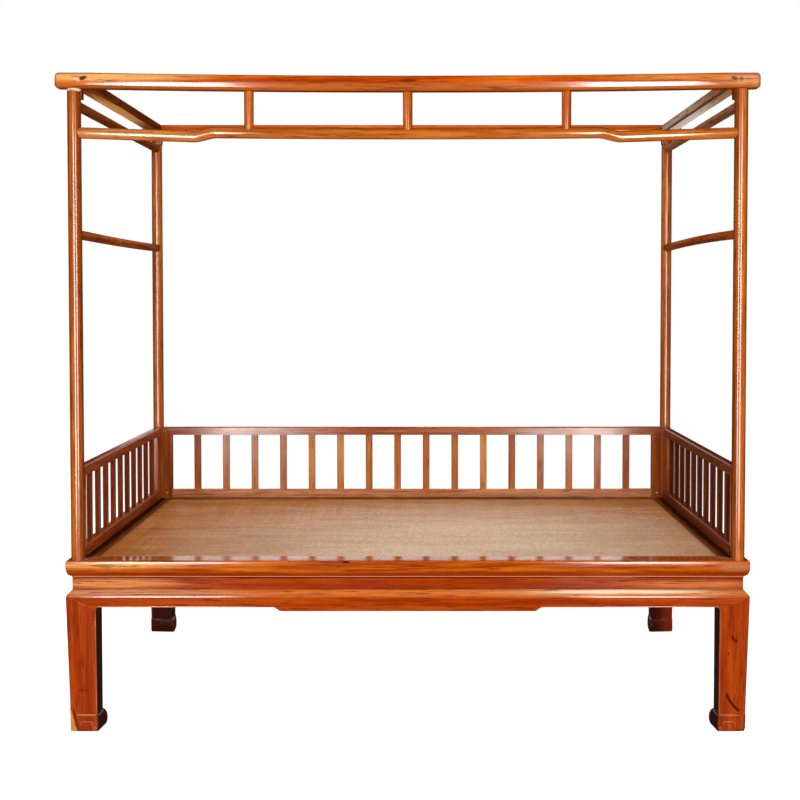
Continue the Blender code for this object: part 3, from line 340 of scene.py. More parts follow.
    # Painted shade: faces turned towards the middle of the bed are darkened, except in the region given by
    # lit_inside, and are also made duller.
    if dull_inside_painted_shade:
        sideways = inward("X", -1.0)
        inner = fade(measure("MAXIMUM", sideways, inward("Y", -1.5)), 0.35, 0.70, 0.90)
        if lit_inside is not None:
            inner = measure("MULTIPLY", inner, fade(reach(*lit_inside), 0.15, 1.0))
        colour = blend("MULTIPLY", inner, colour, INSIDE_SHADE_TINT)
        dulled = measure("MAXIMUM", dulled, fade(sideways, 0.15, 0.40, 0.40))
        dulled = measure("MAXIMUM", dulled, fade(facing.outputs["Z"], 0.30, 0.60, 0.60))
    links.new(colour, shader.inputs["Base Color"])
    links.new(dulled, shader.inputs["Roughness"])
    bump = nodes.new("ShaderNodeBump")
    bump.inputs["Strength"].default_value = 0.12
    bump.inputs["Distance"].default_value = 0.0004
    links.new(fibre, bump.inputs["Height"])
    links.new(bump.outputs["Normal"], shader.inputs["Normal"])
    shader.inputs["Specular IOR Level"].default_value = specular
    shader.inputs["Coat Weight"].default_value = coat
    if bare is not None:
        inside = measure("ABSOLUTE", axes.outputs["X"])
        links.new(fade(inside, bare, bare + 0.004, coat), shader.inputs["Coat Weight"])
    if clear_edges:
        links.new(fade(turned_away(), 0.70, 0.30, coat), shader.inputs["Coat Weight"])
    shader.inputs["Coat Roughness"].default_value = coat_rough
    return material


def dress(nodes, material, edge_width=0.0006, even=True, fuller=0.0):
    for node in nodes:
        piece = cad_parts[node]
        mesh = piece.data
        for name in ("custom_normal", "sharp_edge"):
            if name in mesh.attributes:
                mesh.attributes.remove(mesh.attributes[name])
        mesh.shade_smooth()
        mesh.materials.clear()
        mesh.materials.append(material)
        weld = piece.modifiers.new("joined", "WELD")
        weld.merge_threshold = 0.00002
        flat = piece.modifiers.new("flat", "DECIMATE")
        flat.decimate_type = "DISSOLVE"
        flat.angle_limit = math.radians(0.05)
        if fuller:
            full = piece.modifiers.new("fuller", "DISPLACE")
            full.direction = "NORMAL"
            full.mid_level = 0
            full.strength = fuller
        edge = piece.modifiers.new("eased_edges", "BEVEL")
        edge.width = edge_width
        edge.segments = 2
        edge.limit_method = "ANGLE"
        edge.angle_limit = math.radians(32)
        edge.harden_normals = True
        if even:
            faces = piece.modifiers.new("even_faces", "WEIGHTED_NORMAL")
            faces.mode = "FACE_AREA"
            faces.weight = 50
            faces.keep_sharp = True


CORNERS = [("front", "left"), ("front", "right"), ("back", "left"), ("back", "right")]
LEG_TONES = (paint(104, 29, 2), paint(136, 41, 2), paint(160, 54, 4), paint(182, 76, 14))
leg_wood = polished_wood(
    "leg_wood_upright",
    2,
    *LEG_TONES,
    dull_inside_painted_shade=True,
    marks=[
        ((-0.978, -0.677, 0.126), (0.024, 0.02, 0.0022), 0.0, paint(96, 22, 2), 0.75),
        ((0.979, -0.680, 0.285), (0.0042, 0.02, 0.0090), -0.2, paint(76, 18, 2), 0.92),
        ((0.988, -0.680, 0.277), (0.0060, 0.02, 0.0060), 0.5, paint(76, 18, 2), 0.92),
        ((0.967, -0.680, 0.238), (0.0036, 0.02, 0.0046), 0.0, paint(90, 26, 4), 0.85),
        ((-1.004, -0.672, 0.036), (0.0035, 0.03, 0.038), -0.25, paint(70, 26, 4), 0.85),
        ((0.0, -0.66, 0.0), (2.0, 0.2, 0.008), 0.0, paint(84, 30, 12), 0.45),
    ],
    gouge=(((1.0605, 0, 0.1465), 0.1025, 0.0040), ((0.9815, -0.68, 0.0875), (0.036, 0.03, 0.038))),
    lit_inside=((1.030, 0.592, 0.2), (0.085, 0.05, 0.9)),
)
dress([f"leg_{depth}_{side}" for depth, side in CORNERS], leg_wood, 0.0004)
FACE_X, FACE_Y = 1.030, 0.682
EDGE_X, EDGE_Y = 0.940, 0.592
SHOULDER = 0.413
PANEL_RAISE = 0.0025


def leg_inset(z):
    return 0.011 * (1 - z / SHOULDER)


def leg_point(side_x, side_y, on_front, inward, z, proud):
    face = leg_inset(z) - proud
    if on_front:
        return Vector((side_x * (EDGE_X + inward), side_y * (FACE_Y - face), z))
    return Vector((side_x * (FACE_X - face), side_y * (EDGE_Y + inward), z))


def add_ornament(name, shape, material, smooth=True):
    bmesh.ops.recalc_face_normals(shape, faces=shape.faces)
    ornament = new_piece(name, shape)
    if smooth:
        ornament.data.shade_smooth()
    ornament.data.materials.append(material)
    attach(ornament, "root")
    return ornament


# Leg carving
# Two low plates with rounded tops, one on the other, with raised lines round them and a small curl at
# the inner corner, stand on each outer face of the foot; a thin bead runs up the inner edge. They
# are cut from the leg itself. The raised lines, the curl and the bead are painted paler than the leg,
# a painted highlight along their tops.
PLATE_FOOT, PLATE_ROUND = 0.0012, 0.0009


def raise_faces(shape, offset):
    raised = bmesh.ops.extrude_face_region(shape, geom=list(shape.faces), use_keep_orig=True)["geom"]
    lifted = [v for v in raised if isinstance(v, bmesh.types.BMVert)]
    bmesh.ops.translate(shape, verts=lifted, vec=offset)
    return [e for f in raised if isinstance(f, bmesh.types.BMFace) for e in f.edges]


def carve_plate(shape, place, low, high, top, round_top, sunk, proud):
    corners = [(low, PLATE_FOOT), (high, PLATE_FOOT), (high, top), (low, top)]
    ring = [shape.verts.new((u, z, sunk)) for u, z in corners]
    shape.faces.new(ring)
    bmesh.ops.bevel(
        shape, geom=ring[2:], offset=round_top, segments=5, profile=0.5, affect="VERTICES", material=-1
    )
    rim = raise_faces(shape, (0, 0, proud - sunk))
    bmesh.ops.bevel(shape, geom=rim, offset=PLATE_ROUND, segments=3, profile=0.5, affect="EDGES", material=-1)
    for v in shape.verts:
        v.co = place(v.co.x, v.co.y, v.co.z + PANEL_RAISE)


BEAD_SIDES = 8


def sweep_bead(shape, path, radius):
    rings = []
    for i, point in enumerate(path):
        ahead = path[min(i + 1, len(path) - 1)] - path[max(i - 1, 0)]
        turn = ahead.to_track_quat("Z", "X").to_matrix().to_4x4()
        matrix = Matrix.Translation(point) @ turn
        bmesh.ops.create_circle(shape, segments=BEAD_SIDES, radius=radius, matrix=matrix)
        rings.append(list(shape.edges)[-BEAD_SIDES:])
    for first, second in zip(rings, rings[1:]):
        bmesh.ops.bridge_loops(shape, edges=first + second)
    for end in (rings[0], rings[-1]):
        bmesh.ops.contextual_create(shape, geom=end)


# Painted highlight: these tones are paler than the leg's, standing in for light on the tops of the beads and
# lines.
BEAD_HIGHLIGHT_TONES = (paint(130, 44, 14), paint(166, 66, 26), paint(190, 92, 46), paint(214, 130, 84))
LINE_HIGHLIGHT_TONES = (paint(120, 44, 14), paint(160, 74, 32), paint(190, 106, 56), paint(216, 142, 88))
bead_highlight_wood = polished_wood("bead_highlight_wood_upright", 2, *BEAD_HIGHLIGHT_TONES, specular=0.30, coat=0.0)
line_highlight_wood = polished_wood("line_highlight_wood_upright", 2, *LINE_HIGHLIGHT_TONES, specular=0.30, coat=0.0)


def rounded_line(low, high, top, corner, foot, both_ends):
    quarter = [math.pi / 2 * i / 6 for i in range(7)]
    falling = [(high - corner + corner * math.sin(a), top - corner + corner * math.cos(a)) for a in quarter]
    falling.append((high, foot))
    if not both_ends:
        return [(low, top), ((low + high) / 2, top)] + falling
    return [(low + high - u, z) for u, z in reversed(falling)] + falling


BEAD_RADIUS, BEAD_SINK = 0.0020, 0.0012
PANEL_TOP, MITRE_TIP = 0.0505, 0.370
PLATE = {"low": 0.0115, "high": 0.0510, "top": 0.0310, "round_top": 0.009, "sunk": -0.001, "proud": 0.0018}
BOSS = {"low": 0.0270, "high": 0.0390, "top": 0.0195, "round_top": 0.0055, "sunk": 0.001, "proud": 0.0034}
CURL_X, CURL_Z, CURL_START, CURL_TIGHTEN, CURL_STEPS, CURL_RADIUS = 0.0058, 0.0085, 0.0062, 0.0045, 22, 0.0011
LINE_START, LINE_TOP = 0.0025, PANEL_TOP - 0.0022
PANEL_LINE_RADIUS, PLATE_LINE_RADIUS = 0.0010, 0.0009
PANEL_LINE_LIFT, PLATE_LINE_LIFT = PANEL_RAISE + 0.0002, PANEL_RAISE + 0.0017
for depth, side in CORNERS:
    side_x = -1 if side == "left" else 1
    side_y = -1 if depth == "front" else 1
    for on_front, face_name in ((True, depth), (False, side)):
        def place(inward, z, proud):
            return leg_point(side_x, side_y, on_front, inward, z, proud)

        tag = f"{depth}_{side}_{face_name}_face"
        for kind, sizes in (("foot_plate_", PLATE), ("foot_boss_", BOSS)):
            plate = bmesh.new()
            carve_plate(plate, place, **sizes)
            add_ornament(kind + tag, plate, leg_wood)
        curl = bmesh.new()
        turns = [
            (CURL_START - CURL_TIGHTEN * i / CURL_STEPS, math.radians(-60 + 460 * i / CURL_STEPS))
            for i in range(CURL_STEPS + 1)
        ]
        spiral = [place(CURL_X + r * math.cos(a), CURL_Z + r * math.sin(a), PANEL_LINE_LIFT) for r, a in turns]
        sweep_bead(curl, spiral, CURL_RADIUS)
        add_ornament("foot_curl_" + tag, curl, bead_highlight_wood)
        panel_line = bmesh.new()
        outline = rounded_line(LINE_START, 0.0680, LINE_TOP, 0.007, 0.005, False)
        if tag == "front_left_front_face":
            outline = [(LINE_START + 0.0085 * i, LINE_TOP) for i in range(7)]
        sweep_bead(panel_line, [place(u, z, PANEL_LINE_LIFT) for u, z in outline], PANEL_LINE_RADIUS)
        add_ornament("foot_panel_line_" + tag, panel_line, line_highlight_wood)
        plate_line = bmesh.new()
        outline = rounded_line(0.0124, 0.0501, 0.0300, 0.0080, 0.014, True)
        sweep_bead(plate_line, [place(u, z, PLATE_LINE_LIFT) for u, z in outline], PLATE_LINE_RADIUS)
        add_ornament("foot_plate_line_" + tag, plate_line, line_highlight_wood)
        if not (depth == "back" and on_front):
            bead = bmesh.new()
            levels = [PANEL_TOP + (MITRE_TIP - PANEL_TOP) * i / 6 for i in range(7)]
            sweep_bead(bead, [place(BEAD_SINK, z, -BEAD_SINK) for z in levels], BEAD_RADIUS)
            add_ornament("leg_bead_" + tag, bead, bead_highlight_wood)

# Foot repair
# A wedge of paler wood let into the outer edge of the left front foot, glued in and planed nearly
# flush.
repair_wood = polished_wood(
    "repair_wood", 2, paint(120, 62, 14), paint(176, 98, 30), paint(206, 128, 50), paint(222, 152, 76)
)
REPAIR_TOP, REPAIR_WIDTH, REPAIR_DEPTH = 0.074, 0.0195, 0.026
FLOOR_GAP = 0.0006
foot_x = -(FACE_X - leg_inset(0)) - 0.0003
foot_y = -(FACE_Y - leg_inset(0)) - 0.0030
tip_x = -(FACE_X - leg_inset(REPAIR_TOP)) - 0.0003
tip_y = -(FACE_Y - leg_inset(REPAIR_TOP)) - 0.0006
repair = bmesh.new()
wedge = [
    repair.verts.new((foot_x, foot_y, FLOOR_GAP)),
    repair.verts.new((foot_x + REPAIR_WIDTH, foot_y, FLOOR_GAP)),
    repair.verts.new((tip_x, tip_y, REPAIR_TOP)),
]
repair.faces.new(wedge)
raise_faces(repair, (0, REPAIR_DEPTH, 0))
bmesh.ops.bevel(
    repair, geom=list(repair.edges), offset=0.0007, segments=2, profile=0.5, affect="EDGES", material=-1
)
add_ornament("foot_repair_wedge", repair, repair_wood, smooth=False)

# Aprons
# Four rails under the waist with a sloping shoulder and a shallow drop at the middle, mitred into
# the legs and hung on dovetail keys.
APRON_TONES = (paint(88, 23, 0), paint(137, 41, 0), paint(165, 59, 2), paint(190, 85, 12))
# Painted light: the sloping shoulder, which faces up, is painted a brighter orange along its whole length.
slope_painted_light = [((0, 0, 0.4225), (1.5, 1.5, 0.0130), 0.0, paint(230, 122, 26), 0.80)]
# Painted highlights: paler bands on the shoulder of the front apron near both ends.
shoulder_painted_highlights = [
    ((0.640, -0.675, 0.4240), (0.360, 0.05, 0.0110), 0.0, paint(236, 170, 110), 0.85),
    ((-0.780, -0.675, 0.4225), (0.300, 0.05, 0.0120), 0.0, paint(220, 150, 104), 0.75),
]
apron_wood = polished_wood(
    "apron_wood_long",
    0,
    *APRON_TONES,
    rough=(0.06, 0.11),
    dull_inside_painted_shade=True,
    patches=slope_painted_light + shoulder_painted_highlights,
    # Painted highlight: a near-white line in the right-hand band.
    marks=[((0.640, -0.675, 0.4245), (0.270, 0.05, 0.0044), 0.0, paint(255, 232, 206), 0.72)],
    specular=0.34,
    coat=0.0,
)
dress(["apron_front", "apron_back"], apron_wood, 0.0005)
apron_end_wood = polished_wood("apron_wood_short", 1, *APRON_TONES, dull_inside_painted_shade=True, patches=slope_painted_light)
dress(["apron_left", "apron_right"], apron_end_wood, 0.0010)

# Apron beads
# The bead of the legs goes on round the fillet and along the lower edge of the apron, down and up
# with its drop. It is scratched along the edge of the apron itself, and painted paler than the apron
# as a painted highlight.
APRON_LOW, APRON_FILLET, APRON_DROP, DROP_STEP = 0.380, 0.010, 0.012, 0.026
apron_bead_highlight_wood = polished_wood("bead_highlight_wood_long", 0, *BEAD_HIGHLIGHT_TONES)


def apron_edge(half, drop_length):
    points = []
    bend = APRON_FILLET + BEAD_SINK
    for i in range(7):
        angle = math.pi - math.pi / 2 * i / 6
        along = -half + APRON_FILLET + bend * math.cos(angle)
        points.append((along, APRON_LOW - APRON_FILLET + bend * math.sin(angle)))
    for i in range(9):
        share = i / 8
        fall = APRON_DROP * share * share * (3 - 2 * share)
        points.append((-drop_length / 2 - DROP_STEP * (1 - share), APRON_LOW + BEAD_SINK - fall))
    return points + [(-s, z) for s, z in reversed(points)]


for name, half, drop_length in (("front", EDGE_X, 0.760), ("left", EDGE_Y, 0.460), ("right", EDGE_Y, 0.460)):
    edge_path = []
    for s, z in apron_edge(half, drop_length):
        near_leg = max(0.0, 1 - (half - abs(s)) / APRON_FILLET) if z < APRON_LOW else 0.0
        back = BEAD_SINK + leg_inset(MITRE_TIP) * near_leg
        if name == "front":
            edge_path.append(Vector((s, -(FACE_Y - back), z)))
        else:
            edge_path.append(Vector(((-1 if name == "left" else 1) * (FACE_X - back), s, z)))
    apron_bead = bmesh.new()
    sweep_bead(apron_bead, edge_path, BEAD_RADIUS)
    add_ornament("apron_bead_" + name, apron_bead, apron_bead_highlight_wood)

# Waist
# Four plain reddish strips set back between the aprons and the seat frame, held by a tongue in the
# groove under the frame.
WAIST_TONES = (paint(92, 24, 0), paint(132, 38, 0), paint(154, 50, 0), paint(178, 74, 8))
# Painted shade: a dark line along the top of the waist under the frame, and another along its foot above the
# apron.
waist_painted_shade_lines = [
    ((0, 0, 0.4690), (1.5, 1.5, 0.0046), 0.0, paint(48, 8, 0), 0.97),
    ((0, 0, 0.4310), (1.5, 1.5, 0.0026), 0.0, paint(90, 30, 10), 0.85),
]
# Painted reflection: paler golden patches near both ends, where the tall lights are mirrored.
waist_painted_reflections = [
    ((-0.880, -0.66, 0.4480), (0.200, 0.1, 0.0140), 0.0, paint(236, 154, 80), 0.80),
    ((0.860, -0.66, 0.4460), (0.220, 0.1, 0.0135), 0.0, paint(222, 126, 60), 0.70),
]
waist_wood = polished_wood("waist_wood_long", 0, *WAIST_TONES, marks=waist_painted_shade_lines, patches=waist_painted_reflections)
dress(["waist_front", "waist_back"], waist_wood)
waist_end_wood = polished_wood("waist_wood_short", 1, *WAIST_TONES, marks=waist_painted_shade_lines)
dress(["waist_left", "waist_right"], waist_end_wood)

# Seat frame
# Two long and two short rails with a moulded edge, mitred and tenoned at the corners, with a rebate
# inside for the mat. The top is polished by use.
FRAME_TONES = (paint(100, 30, 0), paint(148, 50, 0), paint(178, 78, 8), paint(206, 114, 22))
frame_wood = polished_wood(
    "frame_wood_long",
    0,
    *FRAME_TONES,
    # Painted reflection: a paler golden patch on the left end of the front rail, where the left light is
    # mirrored.
    patches=[((-0.900, -0.682, 0.5060), (0.240, 0.05, 0.0120), 0.0, paint(232, 160, 76), 0.75)],
    marks=[
        ((-0.225, -0.682, 0.5155), (0.050, 0.02, 0.0016), 0.0, paint(96, 32, 6), 0.80),
        ((-0.187, -0.682, 0.5160), (0.016, 0.02, 0.0036), 0.0, paint(46, 18, 8), 0.97),
        ((0.0, -0.682, 0.4780), (2.0, 0.03, 0.0085), 0.0, paint(132, 36, 0), 0.75),
        ((-0.910, -0.682, 0.5060), (0.040, 0.02, 0.0040), 0.0, paint(104, 34, 6), 0.60),
        ((0.985, -0.682, 0.5000), (0.055, 0.02, 0.0140), 0.0, paint(176, 116, 84), 0.45),
        # Painted highlight: a thin pale line along the lower edge of the front rail.
        ((0.0, -0.676, 0.4703), (2.0, 0.03, 0.0014), 0.0, paint(216, 132, 90), 0.7),
        # Painted shadow: a dark strip on the back rail's top between the mat and the back railing.
        ((0.0, 0.622, 0.5200), (2.0, 0.024, 0.0200), 0.0, paint(48, 16, 4), 0.95),
    ],
    specular=0.44,
    coat=0.0,
)
dress(["frame_rail_front", "frame_rail_back"], frame_wood, 0.0009)
frame_end_wood = polished_wood(
    "frame_wood_short",
    1,
    *FRAME_TONES,
    rough=(0.22, 0.34),
    # Painted shade: the short rails' top strips between the mat and the side railings are darkened, darkest
    # next to the railings.
    marks=[
        ((side * out, 0, 0.520), (half, 1.10, 0.020), 0.0, tint, 0.95)
        for out, half, tint in ((0.966, 0.036, paint(112, 58, 26)), (0.983, 0.026, paint(46, 14, 4)))
        for side in (-1, 1)
    ],
    bare=0.9855,
    specular=0.0,
    coat=0.45,
)
dress(["frame_end_left", "frame_end_right"], frame_end_wood, 0.0009)

# Battens
# Three sawn bars of plain hardwood under the mat, tenoned into the long rails.
BATTEN_TONES = (paint(70, 32, 14), paint(98, 50, 24), paint(122, 66, 34), paint(146, 86, 48))
batten_wood = polished_wood("batten_wood", 1, *BATTEN_TONES, rough=(0.5, 0.7))
dress([f"mat_batten_{i}" for i in (1, 2, 3)], batten_wood, 0.001)

# Mat
# One sheet of split cane in a close over-and-under weave, stretched in the rebate of the frame and
# lying on the battens; it has sunk a little in the middle with use.
mat_low, mat_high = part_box("cane_mat")
STRANDS_LONG, STRANDS_SHORT = 316, 200
STRAND_RISE = 0.00035
MAT_SINK, MAT_RIPPLE = 0.0035, 0.0006
MAT_GAP, MAT_BELOW_TOP, MAT_ABOVE_BASE = 0.0006, 0.0012, 0.0003
mat_length = mat_high[0] - mat_low[0] - MAT_GAP
mat_depth = mat_high[1] - mat_low[1] - MAT_GAP
mat_shape = bmesh.new()
bmesh.ops.create_grid(mat_shape, x_segments=STRANDS_LONG, y_segments=STRANDS_SHORT, size=0.5)
bmesh.ops.scale(mat_shape, verts=mat_shape.verts, vec=(mat_length, mat_depth, 1))
mat_edge = [e for e in mat_shape.edges if e.is_boundary]
for v in mat_shape.verts:
    step_x = round((v.co.x / mat_length + 0.5) * STRANDS_LONG)
    step_y = round((v.co.y / mat_depth + 0.5) * STRANDS_SHORT)
    over = STRAND_RISE if (step_x + step_y) % 2 else -STRAND_RISE
    bow = (1 - (2 * v.co.x / mat_length) ** 2) * (1 - (2 * v.co.y / mat_depth) ** 2)
    ripple = MAT_RIPPLE * math.sin(v.co.x * 7.0 + 1.3) * math.sin(v.co.y * 5.0 + 0.4)
    v.co.z = mat_high[2] - MAT_BELOW_TOP + over - MAT_SINK * bow + ripple * bow
skirt = bmesh.ops.extrude_edge_only(mat_shape, edges=mat_edge)["geom"]
for v in skirt:
    if isinstance(v, bmesh.types.BMVert):
        v.co.z = mat_low[2] + MAT_ABOVE_BASE
under_edge = [e for e in skirt if isinstance(e, bmesh.types.BMEdge) and e.is_boundary]
bmesh.ops.contextual_create(mat_shape, geom=under_edge)
bmesh.ops.recalc_face_normals(mat_shape, faces=mat_shape.faces)
mat = new_piece("woven_mat", mat_shape)
mat.data.shade_smooth()


def woven_cane(name, long_step, short_step):
    material, nodes, links, shader = new_material(name)
    ramp, blend, measure, fade = node_tools(nodes, links)
    coordinates = nodes.new("ShaderNodeTexCoord")

    def mapped(scale, shift=(0, 0, 0)):
        mapping = nodes.new("ShaderNodeMapping")
        mapping.inputs["Scale"].default_value = scale
        mapping.inputs["Location"].default_value = shift
        links.new(coordinates.outputs["Object"], mapping.inputs["Vector"])
        return mapping.outputs["Vector"]

    def noise(scale, detail):
        texture = nodes.new("ShaderNodeTexNoise")
        texture.inputs["Scale"].default_value = 1
        texture.inputs["Detail"].default_value = detail
        links.new(mapped(scale), texture.inputs["Vector"])
        return texture.outputs["Fac"]

    def ridge(axis):
        split = nodes.new("ShaderNodeSeparateXYZ")
        links.new(mapped((1 / long_step, 1 / short_step, 1), (0.5, 0.5, 0)), split.inputs[0])
        return measure("PINGPONG", split.outputs[axis], 0.5)

    checker = nodes.new("ShaderNodeTexChecker")
    checker.inputs["Scale"].default_value = 1
    links.new(mapped((1 / long_step, 1 / short_step, 0), (0.5, 0.5, 0.5)), checker.inputs["Vector"])
    tan = [(0.30, paint(186, 98, 28)), (0.50, paint(232, 142, 52)), (0.72, paint(255, 178, 86))]
    warp = ramp(noise((1 / long_step * 0.9, 2.0, 1), 3), tan)
    weft = ramp(noise((2.0, 1 / short_step * 0.9, 1), 3), tan)
    colour = blend("MIX", checker.outputs["Fac"], warp, weft)
    height = blend("MIX", checker.outputs["Fac"], ridge("X"), ridge("Y"))
    # Painted shade: each strand is darkened towards its edges, where it dips beside its neighbours.
    strand_gap_shade = ramp(height, [(0.02, (0.35, 0.28, 0.22, 1)), (0.22, WHITE)])
    colour = blend("MULTIPLY", 0.75, colour, strand_gap_shade)
    knots = noise((230, 90, 1), 2)
    colour = blend("MULTIPLY", 1.0, colour, ramp(knots, [(0.34, (0.62, 0.55, 0.48, 1)), (0.60, WHITE)]))
    ripples = noise((4.5, 36, 1), 5)
    colour = blend("MULTIPLY", 1.0, colour, ramp(ripples, [(0.40, (0.66, 0.60, 0.54, 1)), (0.58, WHITE)]))
    wear = noise((2.4, 3.4, 1), 4)
    colour = blend("MIX", ramp(wear, [(0.45, BLACK), (0.75, grey(0.5))]), colour, paint(172, 122, 82))
    # Painted sheen: a pale patch, strongest a little right of the middle towards the front, stands in for the
    # bright wall mirrored in the cane.
    painted_sheen = nodes.new("ShaderNodeTexGradient")
    painted_sheen.gradient_type = "SPHERICAL"
    links.new(mapped((1 / 1.15, 1 / 1.15, 0), (-0.15, 0.33, 0)), painted_sheen.inputs["Vector"])
    pale = ramp(painted_sheen.outputs["Fac"], [(0.05, BLACK), (0.75, grey(0.85))])
    sheen_tone = ramp(knots, [(0.36, paint(222, 180, 138)), (0.62, paint(255, 232, 204))])
    sheen_tone = blend("MULTIPLY", 0.8, sheen_tone, ramp(ripples, [(0.40, (0.80, 0.76, 0.72, 1)), (0.58, WHITE)]))
    colour = blend("MIX", pale, colour, blend("MULTIPLY", 0.5, sheen_tone, strand_gap_shade))
    edges = nodes.new("ShaderNodeSeparateXYZ")
    links.new(coordinates.outputs["Object"], edges.inputs[0])
    # Painted shade: the mat is darkened along its edges, next to the frame and railings.
    for axis, half in (("X", mat_length / 2), ("Y", mat_depth / 2)):
        rim = fade(measure("ABSOLUTE", edges.outputs[axis]), half - 0.012, half - 0.004, 0.85)
        colour = blend("MULTIPLY", rim, colour, PAINTED_SHADOW_TINT)
    links.new(colour, shader.inputs["Base Color"])
    links.new(fade(wear, 0.0, 1.0, 0.55, 0.38), shader.inputs["Roughness"])
    shader.inputs["Specular IOR Level"].default_value = 0.35
    bump = nodes.new("ShaderNodeBump")
    bump.inputs["Strength"].default_value = 0.5
    bump.inputs["Distance"].default_value = 0.0006
    links.new(height, bump.inputs["Height"])
    links.new(bump.outputs["Normal"], shader.inputs["Normal"])
    return material


mat.data.materials.append(woven_cane("woven_cane", mat_length / STRANDS_LONG, mat_depth / STRANDS_SHORT))
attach(mat, "root")
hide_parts("cane_mat")

# Posts
# Four turned round posts with squared heads, tenoned into the corners of the seat frame below and
# into the canopy rails above.
POST_TONES = (paint(108, 40, 6), paint(160, 70, 12), paint(190, 94, 22), paint(210, 122, 42))
BACK_POST_TONES = (paint(98, 38, 8), paint(148, 66, 18), paint(178, 92, 32), paint(200, 120, 56))
POST_POLISH = {"specular": 0.0, "coat": 1.0, "coat_rough": 0.16, "clear_edges": True}
post_wood = polished_wood(
    "post_wood_upright", 2, *POST_TONES, painted_edge_shade=0.75, painted_inner_side_shade=0.60, **POST_POLISH
)
dress(["post_front_left", "post_front_right"], post_wood)
back_post_wood = polished_wood(
    "back_post_wood_upright", 2, *BACK_POST_TONES, painted_edge_shade=0.75, **POST_POLISH
)
dress(["post_back_left", "post_back_right"], back_post_wood)

# Post filler
# A thin broken collar of pale putty where the left front post meets the canopy rail, pressed in by
# hand to close the gap.
PUTTY_TONES = (paint(150, 116, 84), paint(206, 174, 134), paint(232, 206, 168), paint(255, 240, 214))
putty = polished_wood("pale_putty", 0, *PUTTY_TONES, rough=(0.5, 0.7))
POST_X, POST_Y, POST_TOP = -0.998, -0.650, 1.934
COLLAR_PROFILE = (
    (0.0195, -0.0068),
    (0.0211, -0.0062),
    (0.0219, -0.0030),
    (0.0214, 0.0010),
    (0.0195, 0.0012),
)
collar = bmesh.new()
profile = [collar.verts.new((POST_X + out, POST_Y, POST_TOP + level)) for out, level in COLLAR_PROFILE]
outline = [collar.edges.new((first, second)) for first, second in zip(profile, profile[1:] + profile[:1])]
bmesh.ops.spin(
    collar,
    geom=profile + outline,
    cent=(POST_X, POST_Y, 0),
    axis=(0, 0, 1),
    angle=2 * math.pi,
    steps=40,
    use_merge=True,
)
bmesh.ops.remove_doubles(collar, verts=collar.verts, dist=0.00001)
for v in collar.verts:
    turn = math.atan2(v.co.y - POST_Y, v.co.x - POST_X)
    if v.co.z < POST_TOP - 0.004:
        v.co.z += 0.0016 * math.sin(3 * turn + 0.4) + 0.0007 * math.sin(13 * turn)
add_ornament("post_filler_collar", collar, putty)

# Canopy rails
# Two long rails that run past the posts with rounded ends, and two thinner side rails tenoned
# between them; the long front rail has sagged a little.
RAIL_POLISH = {**POST_POLISH, "coat_rough": 0.12}
OUTER_POLISH = {"specular": 0.0, "coat": 0.4}
CANOPY_TONES = (paint(108, 36, 0), paint(164, 60, 0), paint(192, 80, 4), paint(214, 110, 30))
canopy_wood = polished_wood(
    "canopy_wood_long",
    0,
    *CANOPY_TONES,
    patches=[
        # Painted reflection: the next two paler golden patches on the upper face near both ends stand where
        # the tall lights are mirrored.
        ((-0.930, -0.675, 1.9660), (0.300, 0.03, 0.0125), 0.0, paint(240, 180, 104), 0.92),
        ((0.830, -0.675, 1.9660), (0.260, 0.03, 0.0100), 0.0, paint(222, 144, 66), 0.70),
        ((1.010, -0.675, 1.9570), (0.075, 0.03, 0.0180), 0.0, paint(226, 160, 112), 0.80),
        # Painted reflection: a paler band along the lower edge of the rail, for light mirrored in its rounded
        # underside.
        ((0.0, -0.675, 1.9370), (2.0, 0.06, 0.0110), 0.0, paint(176, 98, 34), 0.60),
    ],
    marks=[
        ((-0.982, -0.675, 1.9590), (0.010, 0.03, 0.0055), 0.4, paint(226, 186, 150), 0.70),
        ((-0.966, -0.675, 1.9630), (0.013, 0.03, 0.0068), -0.3, paint(76, 24, 12), 0.95),
        ((0.002, -0.675, 1.9560), (0.030, 0.03, 0.0046), 0.0, paint(96, 26, 2), 0.85),
        ((0.972, -0.675, 1.9630), (0.012, 0.03, 0.0060), 0.3, paint(96, 50, 30), 0.85),
        ((0.992, -0.675, 1.9610), (0.008, 0.03, 0.0070), -0.3, paint(120, 76, 50), 0.80),
    ],
    painted_edge_shade=0.60,
    **RAIL_POLISH,
)
dress(["canopy_rail_front", "canopy_rail_back"], canopy_wood, even=False)
# The left side rail gets darker tones than the long rails as painted shade on its inner face; its downward
# faces and a golden band under its middle are painted light.
canopy_side_wood = polished_wood(
    "canopy_wood_short",
    1,
    paint(54, 18, 2),
    paint(82, 30, 6),
    paint(106, 46, 12),
    paint(130, 68, 26),
    rough=(0.35, 0.5),
    marks=[((-0.998, -0.02, 1.9465), (0.060, 0.40, 0.0045), 0.0, (0.58, 0.27, 0.08, 1), 0.92)],
    painted_underside_light=paint(166, 92, 42),
    bare=1.012,
    **OUTER_POLISH,
)
dress(["canopy_rail_left"], canopy_side_wood, 0.0003)
